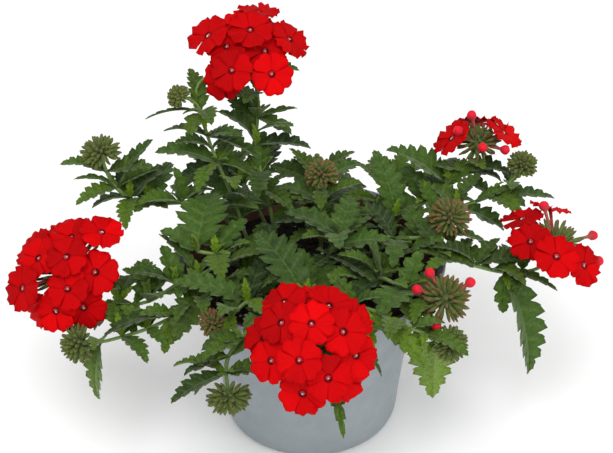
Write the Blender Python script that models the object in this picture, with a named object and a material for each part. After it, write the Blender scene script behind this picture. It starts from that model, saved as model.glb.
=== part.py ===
"""Red trailing verbena in its nursery pot, standing in a grey flared cover pot.

Metres, +Z up.  The origin is the middle of the cover pot's underside and the plant's front looks
along -Y.  Every leafy shoot, bloom, bud head and pot is one closed solid.
"""

import math
import random

import bmesh
import bpy
from mathutils import Matrix, Vector
from mathutils.bvhtree import BVHTree

MM = 0.001

# Driving dimensions
GAP = 0.3 * MM
RIM_RADIUS = 65.0 * MM
POT_HEIGHT = 91.7 * MM
POT_WALL = 1.8 * MM
LINER_WALL = 1.0 * MM
SOIL_TOP = 80.0 * MM
SOIL_DOME = 1.0 * MM
HOLE_DEPTH = 12.0 * MM
COLLAR = 2.0 * MM
STEM_RADIUS = 1.25 * MM
HOLE_RADIUS = STEM_RADIUS + 0.8 * MM
DRAIN_RADIUS = 4.0 * MM
DRAIN_PLACE = 20.0 * MM
STEM_STEP = 20.0 * MM
BLADE_START = 0.22
BLADE_ROOT = 0.10
BLADE_ROOT_HALF = 1.0 * MM
TOOTH_REACH = 0.68
TOOTH_LAG = 0.18
SLIM_LEAF_UNDER = 12.0 * MM
SLIM_LEAF_CUT = 0.42
BROAD_LEAF_CUT = 0.34
FEW_TEETH_UNDER = 35.5 * MM
MANY_TEETH_OVER = 20.5 * MM
LEAF_THICKNESS = 0.7 * MM
LEAF_ROOT_THICKNESS = 1.3 * MM
FLORET_RADIUS = 11.0 * MM
FLORET_CUP = 1.0 * MM
THROAT_DEPTH = 0.5 * MM
PETAL_THICKNESS = 0.65 * MM
CORE_RADIUS = 7.0 * MM
CORE_HEIGHT = 5.5 * MM
CALYX_LENGTH = 4.0 * MM
CORE_SHARE = 0.5
BUD_REACH = 5.0 * MM
BUD_RISE = 6.0 * MM
BUD_SIDES = 5
CLEAR = 0.35 * MM
WELD = 0.0002 * MM

# Mesh fineness
POT_SIDES = 24
LINER_SIDES = 16
SOIL_SIDES = 16
HOLE_SIDES = 5
STEM_SIDES = 4
PETALS = 5

GOLDEN_ANGLE = 137.508
FACE_LIFT = 0.8

# Cover pot wall, outside, as (share of the rim's radius, share of the height)
POT_OUTSIDE = ((0.608, 0.0), (0.655, 0.013), (0.671, 0.044), (0.703, 0.27), (0.748, 0.5),
               (0.83, 0.715), (0.93, 0.89), (0.992, 0.98), (0.997, 1.0))

# Nursery pot wall, outside, millimetres above the cover pot's floor: cone, step, collar, lip
LINER_OUTSIDE = ((34.0, 0.0), (36.0, 1.5), (49.3, 60.0), (51.0, 65.5), (53.0, 68.0), (59.2, 84.0),
                 (60.2, 85.6), (60.2, 86.7))

# Points of each outer wall that the inner wall follows
POT_INSIDE_STOPS = (4, 5, 6, 8)
LINER_INSIDE_STOPS = (3, 5, 7)


class Shoot:
    """One leafy shoot: where it leaves the soil, its route and its leaves.

    route is in millimetres.  A leaf is (route point, compass direction, rise, length, width), with
    angles in degrees and lengths in millimetres.
    """

    def __init__(self, route, leaves, head=None, side=None):
        self.route = route
        self.leaves = leaves
        self.head = head
        self.side = side


class Head:
    """One flower head: middle, axis, the dome that its florets' throats lie on, and its pieces.

    florets and buds are (compass direction, angle from the axis) in degrees.
    """

    def __init__(self, middle, axis, reach, rise, florets=(), buds=(), sides=6):
        self.middle = Vector(middle) * MM
        self.axis = Vector(axis).normalized()
        self.reach = reach * MM
        self.rise = rise * MM
        self.florets = florets
        self.buds = buds
        self.sides = sides
        self.core_reach = CORE_RADIUS if florets else CORE_SHARE * self.reach
        self.core_rise = CORE_HEIGHT if florets else CORE_SHARE * self.rise
        self.calyx = CALYX_LENGTH if florets else self.reach - self.core_reach

    def frame(self):
        """Two directions square to the axis."""
        first = Vector((1.0, 0.0, 0.0))
        first = (first - first.dot(self.axis) * self.axis).normalized()
        return first, self.axis.cross(first)

    def toward(self, compass, lean, reach, rise):
        """A point of the dome and the dome's own slope there."""
        first, second = self.frame()
        around = first * math.cos(compass) + second * math.sin(compass)
        place = self.middle + around * reach * math.sin(lean) + self.axis * rise * math.cos(lean)
        slope = around * rise * math.sin(lean) + self.axis * reach * math.cos(lean)
        return place, slope.normalized()

    def seat(self, before):
        """The end of a stalk that comes from a point, just clear of the core's surface."""
        away = (before - self.middle).normalized()
        along = away.dot(self.axis)
        across = away - along * self.axis
        slope = across / self.core_reach ** 2 + self.axis * along / self.core_rise ** 2
        surface = 1.0 / math.sqrt(away.dot(slope))
        return self.middle + away * (surface + GAP + STEM_RADIUS * math.tan(away.angle(slope)))


def spiral(count, widest, start):
    """Directions of florets spread evenly over a dome, each a golden angle on from the last.

    widest is the outermost one's angle from the axis and start the first one's compass direction,
    both in degrees.
    """
    deep = 1 - math.cos(math.radians(widest))
    return tuple((start + GOLDEN_ANGLE * i, math.degrees(math.acos(1 - deep * (i + 0.5) / count)))
                 for i in range(count))


BLOOMS = {
    "bloom_top_left": Head((-31, 54, 172.5), (-0.05, -0.5, 0.86), 19, 13,
                           florets=spiral(11, 88, 60)),
    "bloom_left": Head((-113, -22, 97), (-0.3, -0.55, 0.78), 23.5, 16,
                       florets=spiral(13, 90, 20)),
    "bloom_front": Head((1, -80, 101), (0.0, -0.65, 0.76), 23.5, 16,
                        florets=spiral(14, 92, 100)),
    "bloom_upper_right": Head((83, 50, 124), (0.05, -0.1, 1.0), 14, 13, florets=(
        (185, 75), (5, 60), (90, 80)), buds=((150, 20), (-160, 50), (-40, 75), (-90, 60))),
    "bloom_right": Head((115, -8, 103), (0.3, -0.1, 0.95), 20, 13, florets=(
        (150, 75), (-150, 65), (-105, 60), (-55, 70), (95, 70)),
        buds=((125, 45), (25, 75), (-15, 85)), sides=5),
}

BUD_HEADS = {
    "buds_left": Head((-99, 14, 141), (-0.15, 0.0, 1.0), 10, 8, sides=7),
    "buds_top_left": Head((-63, 37, 158), (-0.6, -0.1, 0.6), 6, 6, sides=5),
    "buds_back": Head((5, 26, 121), (0.0, 0.0, 1.0), 9, 8, sides=6),
    "buds_upper": Head((66, 2, 112), (0.1, -0.2, 1.0), 11, 9, sides=7),
    "buds_right": Head((61, -42, 97), (0.1, -0.45, 0.9), 12, 11, sides=8,
                       buds=((130, 60), (170, 75), (25, 55), (-110, 90))),
    "buds_far_right": Head((104, 39, 118), (0.2, 0.1, 1.0), 8, 8, sides=5),
    "buds_front_right": Head((63, -57, 83), (0.3, -0.5, 0.2), 9, 8, sides=6),
    "buds_front_left": Head((-37, -78, 70), (0.1, -0.6, -0.3), 11, 9, sides=7),
    "buds_low_left": Head((-107, -48, 76), (-0.7, -0.6, 0.2), 10, 9, sides=7),
    "buds_mid_left": Head((-45, -54, 92), (-0.2, -0.1, 1.0), 6, 9, sides=5),
}

SHOOTS = {
    "shoot_top": Shoot(
        ((-17, 24, 80), (-20, 22, 104), (-24, 29, 120), (-27, 38, 130), (-26, 46, 141),
         (-26, 50, 152)),
        ((4, -170, 50, 28, 13), (4, 10, 10, 20, 5), (4, -25, -15, 19, 11), (3, -5, 10, 27, 13),
         (3, 175, 45, 26, 13), (1, 35, 10, 22, 13), (2, 80, 0, 30, 15)),
        head="bloom_top_left"),
    "shoot_top_left": Shoot(
        ((-30, 16, 80), (-37, 20, 108), (-45, 28, 126), (-50, 34, 138), (-53, 38, 149),
         (-57, 39, 155)),
        ((2, -175, 15, 31, 16), (3, -15, -10, 28, 15), (4, -125, -50, 15, 12), (4, -165, 0, 27, 4),
         (2, -160, -25, 23, 14), (2, -10, -20, 20, 15), (1, 130, 10, 30, 15)),
        head="buds_top_left",
        side=((-50, 34, 138), (-55, 41, 152), (-54, 44, 161), (-47, 48, 165))),
    "shoot_left": Shoot(
        ((-38, 26, 80), (-44, 17, 106), (-54, 16, 111), (-63, 15, 112), (-78, 14, 112),
         (-87, 14, 115), (-93, 14, 121), (-97, 14, 130)),
        ((5, -155, 0, 19, 11), (6, -170, 20, 21, 5), (6, 20, 50, 30, 11), (5, 30, 30, 22, 17),
         (4, -115, 15, 14, 12), (3, -145, -10, 16, 8), (3, 130, 60, 19, 9),
         (4, 70, 15, 28, 14), (1, -140, -30, 15, 11)),
        head="buds_left"),
    "shoot_left_low": Shoot(
        ((-33, 3, 80), (-41, -18, 99), (-53, -24.5, 97), (-63, -26, 93), (-76, -28, 85),
         (-90, -28, 83), (-101, -26, 85)),
        ((4, 115, 50, 20, 13), (4, 20, 40, 17, 10), (3, 120, 35, 20, 12), (5, -165, -45, 18, 11),
         (2, 143, 12, 27, 8.5), (5, 80, 0, 24, 12), (5, -60, -20, 18, 10)),
        head="bloom_left"),
    "shoot_left_front": Shoot(
        ((-29, -10, 80), (-40, -33, 98), (-50, -39, 95.5), (-63, -43, 88), (-75, -46, 83),
         (-87, -47, 79), (-97, -47, 76)),
        ((3, -165, -10, 34, 16), (3, -110, -45, 18, 9), (2, -125, -40, 24, 18),
         (6, -132, -42, 32, 16), (4, 90, 30, 17, 9), (5, 70, -20, 20, 10)),
        head="buds_low_left"),
    "shoot_left_mid": Shoot(
        ((-21, -19, 80), (-29, -44, 97), (-36, -51, 95), (-43, -56, 87)),
        ((1, 170, 10, 36, 14), (2, -110, -55, 15, 7), (1, 75, 15, 29, 10)),
        head="buds_mid_left"),
    "shoot_front_left": Shoot(
        ((-13, -28, 80), (-23, -56, 97), (-31, -64, 92), (-37, -70, 86), (-38, -73, 79)),
        ((3, -175, -25, 22, 10), (4, -170, -35, 18, 9), (4, -153, -22, 30, 13), (4, -5, 5, 17, 8),
         (2, -165, -10, 19, 11)),
        head="buds_front_left"),
    "shoot_front": Shoot(
        ((-3, -20, 80), (-2, -45, 98), (0, -58, 97)),
        ((2, -45, -45, 35, 7), (2, -60, -65, 55, 9), (2, -25, -40, 40, 9), (1, 125, 20, 44, 21),
         (1, 95, 20, 34, 12)),
        head="bloom_front"),
    "shoot_centre": Shoot(
        ((7, 3, 80), (8, -3, 93), (11, -7, 102), (13, -10, 110)),
        ((2, 140, 25, 26, 15), (3, 75, 10, 28, 14), (2, -10, 15, 27, 17), (1, -55, 10, 38, 14),
         (1, -95, 10, 34, 13), (3, 160, 15, 28, 13), (3, -90, 20, 24, 13))),
    "shoot_back": Shoot(
        ((5, 21, 80), (5, 19, 98), (5, 22, 107)),
        ((1, -170, 5, 24, 14), (1, -10, 15, 26, 15), (2, 165, 5, 22, 13), (2, 20, 10, 24, 13),
        (1, 80, 0, 32, 15), (2, 125, -5, 28, 13)),
        head="buds_back"),
    "shoot_left_fan": Shoot(
        ((-23, 9, 80), (-35, -3, 96), (-45, -15, 103), (-53, -17, 106)),
        ((3, 80, 15, 37, 26), (2, 50, 20, 24, 12), (3, 165, -15, 20, 12), (2, -80, -5, 18, 11),
         (1, 120, 10, 26, 13))),
    "shoot_right_front": Shoot(
        ((19, -15, 80), (31, -25, 97), (43, -35, 97), (52, -38, 95), (59, -40, 91)),
        ((2, -95, -35, 26, 19), (2, 5, -15, 24, 14), (1, -170, 55, 22, 15), (2, 55, 45, 20, 12),
         (3, -75, -50, 17, 8), (1, -120, 10, 24, 12)),
        head="buds_right"),
    "shoot_front_right": Shoot(
        ((12, -30, 80), (24, -50, 98), (38, -56, 95), (51, -56, 88), (57, -54, 83)),
        ((4, -100, -62, 36, 24), (3, -135, -50, 13, 7), (1, -40, -45, 38, 13), (1, -70, -60, 30, 8),
         (3, 10, -20, 24, 5)),
        head="buds_front_right"),
    "shoot_right": Shoot(
        ((33, 0, 80), (47, -4, 97), (61, -9, 98), (78, -12, 94), (92, -13, 91), (108, -10, 91)),
        ((4, -45, -70, 55, 22), (3, 40, 30, 18, 11), (4, -20, -10, 26, 8), (2, -20, -40, 17, 10),
        (2, 125, 25, 20, 12), (4, -95, -65, 20, 11), (4, 80, -5, 24, 12)),
        head="bloom_right"),
    "shoot_right_back": Shoot(
        ((30, 19, 80), (42, 20, 98), (56, 30, 102), (68, 40, 105), (76, 46, 109)),
        ((3, 170, 30, 36, 21), (1, 115, 45, 37, 17), (2, -155, -10, 26, 18), (4, -10, 5, 24, 15),
         (4, -160, 25, 18, 10), (4, 10, 20, 22, 11), (2, 120, 30, 22, 13), (3, 80, -5, 32, 15)),
        head="bloom_upper_right"),
    "shoot_right_up": Shoot(
        ((24, 8, 80), (40, 1, 99), (53, 0, 102), (62, 1, 103)),
        ((2, 110, 35, 20, 13), (3, -5, -10, 22, 13), (1, -95, 10, 29, 13), (2, -60, -30, 16, 11)),
        head="buds_upper"),
    "shoot_far_right": Shoot(
        ((37, 11, 80), (53, 15.5, 99.5), (72, 24, 103), (88, 31, 105), (98, 36, 109)),
        ((3, 5, 5, 33, 13), (2, -25, -15, 25, 18), (3, -35, -15, 20, 14), (2, 150, 25, 18, 12),
         (4, 80, 0, 24, 12), (1, -42, -5, 22, 12)),
        head="buds_far_right"),
    "shoot_back_left": Shoot(
        ((-22, 36, 80), (-34, 55, 97), (-42, 68, 96), (-48, 79, 88), (-52, 87, 79)),
        ((1, 160, 0, 32, 15), (1, 60, 5, 28, 14), (2, 175, -25, 34, 16), (3, 75, -35, 32, 15),
         (4, 130, -60, 30, 14))),
    "shoot_back_mid": Shoot(
        ((2, 36, 80), (3, 55, 97), (4, 69, 95), (6, 80, 86), (8, 88, 76)),
        ((1, 150, 5, 28, 14), (1, 35, 5, 28, 14), (2, 150, -30, 32, 15), (3, 30, -35, 32, 15),
         (4, 90, -65, 30, 14))),
    "shoot_back_right": Shoot(
        ((24, 33, 80), (38, 50, 97), (47, 62, 95), (54, 71, 86), (59, 77, 76)),
        ((1, 100, 5, 28, 14), (1, 0, 0, 28, 14), (2, 110, -30, 32, 15), (3, 5, -30, 32, 15),
         (4, 60, -60, 28, 13))),
}

# One petal's edge from the cleft before it, as (degrees, share of the radius, share of the curl)
PETAL_EDGE = ((-36, 0.30, 0.0), (-27, 0.88, 0.6), (0, 0.88, 1.0), (27, 0.93, 0.5))

# A bud's tube and tip as (millimetres from its tip, radius in millimetres)
BUD_OUTLINE = ((6.0, 0.9), (3.6, 2.5), (1.2, 2.3))
BUD_FOOT_RADIUS = 0.8

# The core's rows, from its foot at -1 to its top at 1
CORE_LEVELS = (-1.0, -0.7, -0.1, 0.5, 0.88, 1.0)
CALYX_SHARES = (1.0, 0.75, 0.5)

# Turns tried in this order until a leaf lies clear: (compass, rise) in degrees, share of its length
FLORET_STANDS = (0.0, 1.4, -1.4, 2.8, -2.8)
LEAF_TURNS = [(0, 0, 1.0)] + [
    (turn * side, lift * tilt, share)
    for share in (1.0, 0.85, 0.7)
    for turn in (0, 12, 24, 36)
    for lift in (0, 10, 20, 30, 40)
    for side in (1, -1)
    for tilt in (1, -1)
    if turn or lift
]
FLORET_TURNS = [(0, 0)] + [
    (turn * side, lean * tilt)
    for lean in (0, 6, 12, 18, 24)
    for turn in (0, 6, 12, 18)
    for side in (1, -1)
    for tilt in (-1, 1)
    if turn or lean
]


def clear_scene():
    """Remove every object that the file starts with."""
    for item in list(bpy.data.objects):
        bpy.data.objects.remove(item, do_unlink=True)


def make_material(name, colour, roughness):
    """A plain finish with the piece's own colour."""
    finish = bpy.data.materials.new(name)
    finish.use_nodes = True
    shader = finish.node_tree.nodes["Principled BSDF"]
    shader.inputs["Base Color"].default_value = (*colour, 1.0)
    shader.inputs["Roughness"].default_value = roughness
    shader.inputs["Metallic"].default_value = 0.0
    return finish


def mesh_object(name, points, faces, finish=None):
    """Put points and faces in a new object, with every face pointing out."""
    mesh = bpy.data.meshes.new(name)
    mesh.from_pydata([tuple(p) for p in points], [], faces)
    shape = bmesh.new()
    shape.from_mesh(mesh)
    bmesh.ops.recalc_face_normals(shape, faces=shape.faces)
    shape.to_mesh(mesh)
    shape.free()
    if finish:
        mesh.materials.append(finish)
    item = bpy.data.objects.new(name, mesh)
    bpy.context.scene.collection.objects.link(item)
    return item


def rings_to_faces(ring_sizes):
    """Faces that join rings of points in order; a ring of one point is a tip or a foot."""
    faces = []
    start = 0
    for here, there in zip(ring_sizes, ring_sizes[1:]):
        after = start + here
        sides = max(here, there)
        for i in range(sides):
            j = (i + 1) % sides
            if here == 1:
                faces.append((start, after + i, after + j))
            elif there == 1:
                faces.append((start + i, start + j, after))
            else:
                faces.append((start + i, start + j, after + j, after + i))
        start = after
    return faces


def turned(outline, sides, middle=(0.0, 0.0)):
    """Points and faces of a solid turned about an upright axis from (radius, height) pairs."""
    points = []
    sizes = []
    for radius, height in outline:
        if radius == 0.0:
            points.append((middle[0], middle[1], height))
            sizes.append(1)
            continue
        for i in range(sides):
            angle = 2 * math.pi * i / sides
            points.append((middle[0] + radius * math.cos(angle),
                           middle[1] + radius * math.sin(angle), height))
        sizes.append(sides)
    return points, rings_to_faces(sizes)


def cup_inside(outside, stops, wall, floor):
    """A cup's inner outline from its floor up, following the chosen points of the outside."""
    side = [(outside[i][0] - wall, outside[i][1]) for i in stops]
    return [(outside[1][0] - 2 * wall, floor)] + side


def cup_outline(outside, inside):
    """A cup's whole outline, from the middle of its foot up, over the lip and down inside."""
    return [(0.0, outside[0][1])] + list(outside) + inside[::-1] + [(0.0, inside[0][1])]


def pot_outline():
    """The cover pot's outline, foot to floor."""
    outside = [(share * RIM_RADIUS, level * POT_HEIGHT) for share, level in POT_OUTSIDE]
    return cup_outline(outside, cup_inside(outside, POT_INSIDE_STOPS, POT_WALL, POT_WALL))


def liner_outside():
    """The nursery pot's outer wall, standing on the cover pot's floor."""
    floor = POT_WALL + GAP
    return [(radius * MM, floor + height * MM) for radius, height in LINER_OUTSIDE]


def liner_inside():
    """The nursery pot's inner wall."""
    outside = liner_outside()
    return cup_inside(outside, LINER_INSIDE_STOPS, LINER_WALL, outside[0][1] + LINER_WALL)


def liner_outline():
    """The nursery pot's whole outline."""
    return cup_outline(liner_outside(), liner_inside())


def soil_outline():
    """The soil's outline, a gap inside the nursery pot, a little domed on top."""
    slack = 1.5 * GAP
    foot, waist, brim = liner_inside()[:3]
    share = (SOIL_TOP - waist[1]) / (brim[1] - waist[1])
    top = waist[0] + share * (brim[0] - waist[0])
    bottom = foot[1] + GAP
    return [(0.0, bottom), (foot[0] - slack, bottom), (waist[0] - slack, waist[1]),
            (top - slack, SOIL_TOP), (0.0, SOIL_TOP + SOIL_DOME)]


def make_cup(name, outline, sides, finish):
    """A turned pot, shaded round."""
    points, faces = turned(outline, sides)
    item = mesh_object(name, points, faces, finish)
    item.data.shade_smooth()
    item.data.set_sharp_from_angle(angle=math.radians(35))
    return item


def join(item, operation, shapes):
    """Cut shapes out of an object, or add them to it, all at once, and leave one closed body."""
    if not shapes:
        return
    others = bpy.data.collections.new(item.name + "_pieces")
    pieces = [mesh_object(f"{item.name}_{i}", *shape) for i, shape in enumerate(shapes)]
    for piece in pieces:
        others.objects.link(piece)
    start = item.data
    for solver in ("EXACT", "MANIFOLD"):
        item.data = start.copy()
        step = item.modifiers.new("join", "BOOLEAN")
        step.operation = operation
        step.solver = solver
        step.operand_type = "COLLECTION"
        step.collection = others
        settle_modifiers(item)
        if keep_one_body(item):
            break
    for piece in pieces:
        bpy.data.objects.remove(piece, do_unlink=True)
    bpy.data.collections.remove(others)


def settle_modifiers(item):
    """Turn an object's modifiers into its own mesh."""
    graph = bpy.context.evaluated_depsgraph_get()
    done = bpy.data.meshes.new_from_object(item.evaluated_get(graph))
    item.modifiers.clear()
    item.data = done


def smooth_route(route, step):
    """Points about a step apart on a smooth curve through the route's points."""
    ends = [route[0] * 2 - route[1]] + list(route) + [route[-1] * 2 - route[-2]]
    points = []
    for before, start, end, after in zip(ends, ends[1:], ends[2:], ends[3:]):
        count = max(1, round((end - start).length / step))
        for i in range(count):
            t = i / count
            points.append(0.5 * (2 * start + (end - before) * t
                                 + (2 * before - 5 * start + 4 * end - after) * t * t
                                 + (3 * start - before - 3 * end + after) * t * t * t))
    return points + [route[-1]]


def tube(points, radii, sides):
    """Points and faces of a closed tube along a line of points."""
    rings = []
    side = None
    for i, point in enumerate(points):
        ahead = points[min(i + 1, len(points) - 1)] - points[max(i - 1, 0)]
        ahead.normalize()
        if side is None:
            side = ahead.orthogonal().normalized()
        side = (side - side.dot(ahead) * ahead).normalized()
        other = ahead.cross(side)
        for k in range(sides):
            angle = 2 * math.pi * k / sides
            rings.append(point + radii[i] * (side * math.cos(angle) + other * math.sin(angle)))
    sizes = [sides] * len(points)
    faces = rings_to_faces(sizes)
    last = len(rings) - sides
    faces.append(tuple(range(sides))[::-1])
    faces.append(tuple(range(last, last + sides)))
    return rings, faces


def stem_route(shoot):
    """A shoot's route in metres, from its foot in the soil to its end or its head's seat."""
    route = [Vector(point) * MM for point in shoot.route]
    foot = route[0].copy()
    foot.z = SOIL_TOP - HOLE_DEPTH + GAP
    route[0].z += COLLAR
    route.insert(0, foot)
    if shoot.head:
        head = HEADS[shoot.head]
        route.append(head.seat(route[-1]))
    return route


def stem(shoot, grow=0.0):
    """A shoot's stem, square as a verbena's is, thinner towards its tip."""
    points = smooth_route(stem_route(shoot), STEM_STEP)
    last = len(points) - 1
    radii = [STEM_RADIUS * (1.0 - 0.25 * i / last) + grow for i in range(last + 1)]
    return tube(points, radii, STEM_SIDES)


def side_stem(shoot, grow=0.0):
    """The thinner branch that leaves a shoot's stem."""
    points = smooth_route([Vector(point) * MM for point in shoot.side], STEM_STEP)
    return tube(points, [0.7 * STEM_RADIUS + grow] * len(points), STEM_SIDES)


def leaf_half_width(share):
    """Half of an ovate blade's width at a share of its length, against half its widest."""
    return math.sin(math.pi * share ** 0.85) ** 0.8


def leaf(root, compass, rise, length, width, luck, grow=0.0, start=0.0):
    """Points and faces of one toothed leaf, arched and folded a little along its midrib.

    root is where it leaves the stem, compass and rise are its direction in radians, and luck
    varies its bend.  grow thickens and widens it for the clearance test, and start leaves out the
    part next to the stem, for the test against the leaves beside it.
    """
    ahead = Vector((math.cos(compass) * math.cos(rise), math.sin(compass) * math.cos(rise),
                    math.sin(rise)))
    level = Vector((-math.sin(compass), math.cos(compass), 0.0))
    top = ahead.cross(level).normalized()
    if top.z < 0:
        top.negate()
    roll = Matrix.Rotation(0.5 * (luck.random() - 0.5), 3, ahead)
    level = roll @ level
    top = roll @ top
    arch = length * (0.06 + 0.10 * luck.random())
    fold = 0.15 + 0.35 * luck.random()
    wave = 0.05 * width * (luck.random() - 0.5)
    teeth = 2 if length < FEW_TEETH_UNDER else 3 if width < MANY_TEETH_OVER else 4
    cut = SLIM_LEAF_CUT if width < SLIM_LEAF_UNDER else BROAD_LEAF_CUT

    def spot(share, half, side, lift=0.0):
        """A point of the blade: share along it, half to its side."""
        bend = 4 * arch * share * (1 - share)
        return (root + ahead * length * share + top * (bend + fold * half + lift)
                + level * side * (half + grow))

    middle = [spot(start, 0.0, 0)]
    edges = {1: [], -1: []}
    for side in (1, -1):
        edges[side].append(spot(start, BLADE_ROOT_HALF, side))
    for i in range(teeth):
        start = BLADE_ROOT + (1 - BLADE_ROOT) * i / teeth
        end = BLADE_ROOT + (1 - BLADE_ROOT) * (i + 1) / teeth
        point = start + TOOTH_REACH * (end - start)
        for side in (1, -1):
            half = 0.5 * width * leaf_half_width(point - TOOTH_LAG / teeth)
            edges[side].append(spot(point, half, side, wave * side * (-1) ** i))
        if i + 1 < teeth:
            half = 0.5 * width * leaf_half_width(end) * (1 - cut)
            middle.append(spot(end, 0.0, 0))
            for side in (1, -1):
                edges[side].append(spot(end, half, side))
    apex = spot(1.0, 0.0, 0)
    return leaf_faces(middle, edges, apex, top, teeth, grow)


def leaf_faces(middle, edges, apex, top, teeth, grow):
    """Two faces of the blade, split alike, and the edge between them."""
    sheet = middle + edges[1] + edges[-1] + [apex]
    first = {1: teeth, -1: 3 * teeth}
    end = len(sheet) - 1
    faces = []
    rim = []
    for side in (1, -1):
        base = first[side]
        for i in range(teeth):
            here = base + 2 * i
            last = i + 1 == teeth
            ahead = end if last else i + 1
            cells = [(i, here, here + 1), (i, here + 1, ahead)]
            if not last:
                cells.append((ahead, here + 1, here + 2))
            faces += [cell if side == 1 else cell[::-1] for cell in cells]
            rim += [(here, here + 1), (here + 1, end if last else here + 2)]
        rim.append((0, base))
    count = len(sheet)
    thick = [LEAF_ROOT_THICKNESS if i in (0, first[1], first[-1]) else LEAF_THICKNESS
             for i in range(count)]
    points = [p + top * (0.5 * thick[i] + grow) for i, p in enumerate(sheet)]
    points += [p - top * (0.5 * thick[i] + grow) for i, p in enumerate(sheet)]
    whole = list(faces) + [tuple(count + k for k in cell[::-1]) for cell in faces]
    for a, b in rim:
        whole += [(a, b, count + b), (a, count + b, count + a)]
    return points, whole


def floret(throat, facing, root, spin, luck, grow=0.0, tubed=True):
    """One floret: five notched petals round a throat, on a slim tube down to the head's core.

    Without its tube it is the flat of the petals alone, for the test against its neighbours.
    """
    first = facing.orthogonal().normalized()
    first = Matrix.Rotation(spin, 3, facing) @ first
    second = facing.cross(first)
    radius = FLORET_RADIUS * (0.94 + 0.1 * luck.random()) + grow
    half = 0.5 * PETAL_THICKNESS + grow
    rim = []
    for petal in range(PETALS):
        curl = (0.16 * luck.random() - 0.04) * radius
        for turn, reach, lift in PETAL_EDGE:
            angle = 2 * math.pi * petal / PETALS + math.radians(turn)
            outward = first * math.cos(angle) + second * math.sin(angle)
            rim.append(throat + radius * reach * outward + facing * (FLORET_CUP - curl * lift))
    count = len(rim)
    points = [p + facing * half for p in rim] + [p - facing * half for p in rim]
    points.append(throat + facing * (half - THROAT_DEPTH))
    centre = 2 * count
    step = len(PETAL_EDGE)
    faces = []
    for petal in range(PETALS):
        cleft = step * petal
        after = step * ((petal + 1) % PETALS)
        cells = [(cleft, cleft + 1, cleft + 2), (cleft, cleft + 2, cleft + 3),
                 (cleft, cleft + 3, after)]
        faces += cells + [(cleft, after, centre)]
        faces += [tuple(count + k for k in cell[::-1]) for cell in cells]
        faces.append((count + after, count + cleft, centre + 1))
    for i in range(count):
        j = (i + 1) % count
        faces += [(j, i, count + i), (j, count + i, count + j)]
    points.append(root if tubed else throat - facing * half)
    return points, faces


def bud(foot, tip, grow=0.0):
    """A closed red bud on its tube, standing out of the head."""
    ahead = (tip - foot).normalized()
    length = (tip - foot).length
    stops = [(0.0, BUD_FOOT_RADIUS)] + [(length - back * MM, size) for back, size in BUD_OUTLINE]
    return tube([foot + ahead * at for at, _ in stops],
                [size * MM + grow for _, size in stops], BUD_SIDES)


def core(space, name, head):
    """The low dome in the middle of a head, with a calyx raised to a point on each of its faces.

    A calyx that would reach another node is shortened until it lies clear.
    """
    first, second = head.frame()
    points = []
    sizes = []
    for row, level in enumerate(CORE_LEVELS):
        spread = math.sqrt(1 - level * level)
        middle = head.middle + head.axis * level * head.core_rise
        count = head.sides if spread else 1
        for i in range(count):
            angle = 2 * math.pi * (i + 0.5 * row) / count
            points.append(middle + head.core_reach * spread
                          * (first * math.cos(angle) + second * math.sin(angle)))
        sizes.append(count)
    faces = []
    for face in rings_to_faces(sizes):
        centre = sum((points[k] for k in face), Vector()) / len(face)
        outward = (centre - head.middle).normalized()
        if min(face) == 0:
            faces.append(face)
            continue
        for share in CALYX_SHARES:
            tip = centre + outward * share * head.calyx
            needle = ([points[k] for k in face] + [tip, centre],
                      [(len(face), k, (k + 1) % len(face)) for k in range(len(face))]
                      + [(len(face) + 1, (k + 1) % len(face), k) for k in range(len(face))])
            if space.free(name, needle):
                points.append(tip)
                faces += [(face[k], face[(k + 1) % len(face)], len(points) - 1)
                          for k in range(len(face))]
                break
        else:
            faces.append(face)
    return points, faces


class Space:
    """What is already placed, so that each new leaf, floret or calyx can be bent clear of it."""

    def __init__(self):
        self.solids = []

    def add(self, owner, shape):
        """Remember a placed shape and the node that it belongs to."""
        points, faces = shape
        tree = BVHTree.FromPolygons([tuple(p) for p in points], faces)
        low = [min(p[axis] for p in points) for axis in range(3)]
        high = [max(p[axis] for p in points) for axis in range(3)]
        self.solids.append((owner, tree, low, high))

    def free(self, owner, shape):
        """Whether a shape lies clear of every other node."""
        points, faces = shape
        low = [min(p[axis] for p in points) for axis in range(3)]
        high = [max(p[axis] for p in points) for axis in range(3)]
        tree = None
        for other, solid, bottom, top in self.solids:
            if other == owner:
                continue
            if any(low[k] > top[k] or high[k] < bottom[k] for k in range(3)):
                continue
            tree = tree or BVHTree.FromPolygons([tuple(p) for p in points], faces)
            if tree.overlap(solid):
                return False
        return True


def place_leaf(space, name, near, route, row, seed):
    """The first of a leaf's turns that lies clear of other nodes and, if one does, of its own."""
    at, compass, rise, length, width = row
    best = None
    for turn, lift, share in LEAF_TURNS:
        make = (route[at + 1], math.radians(compass + turn), math.radians(rise + lift),
                length * share * MM, width * share * MM)
        if not space.free(name, leaf(*make, random.Random(seed), CLEAR)):
            continue
        best = best or make
        blade = leaf(*make, random.Random(seed), 0.5 * CLEAR, BLADE_START)
        if near.free("", blade):
            near.add(name, blade)
            return leaf(*make, random.Random(seed))
    return leaf(*best, random.Random(seed)) if best else None


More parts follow.
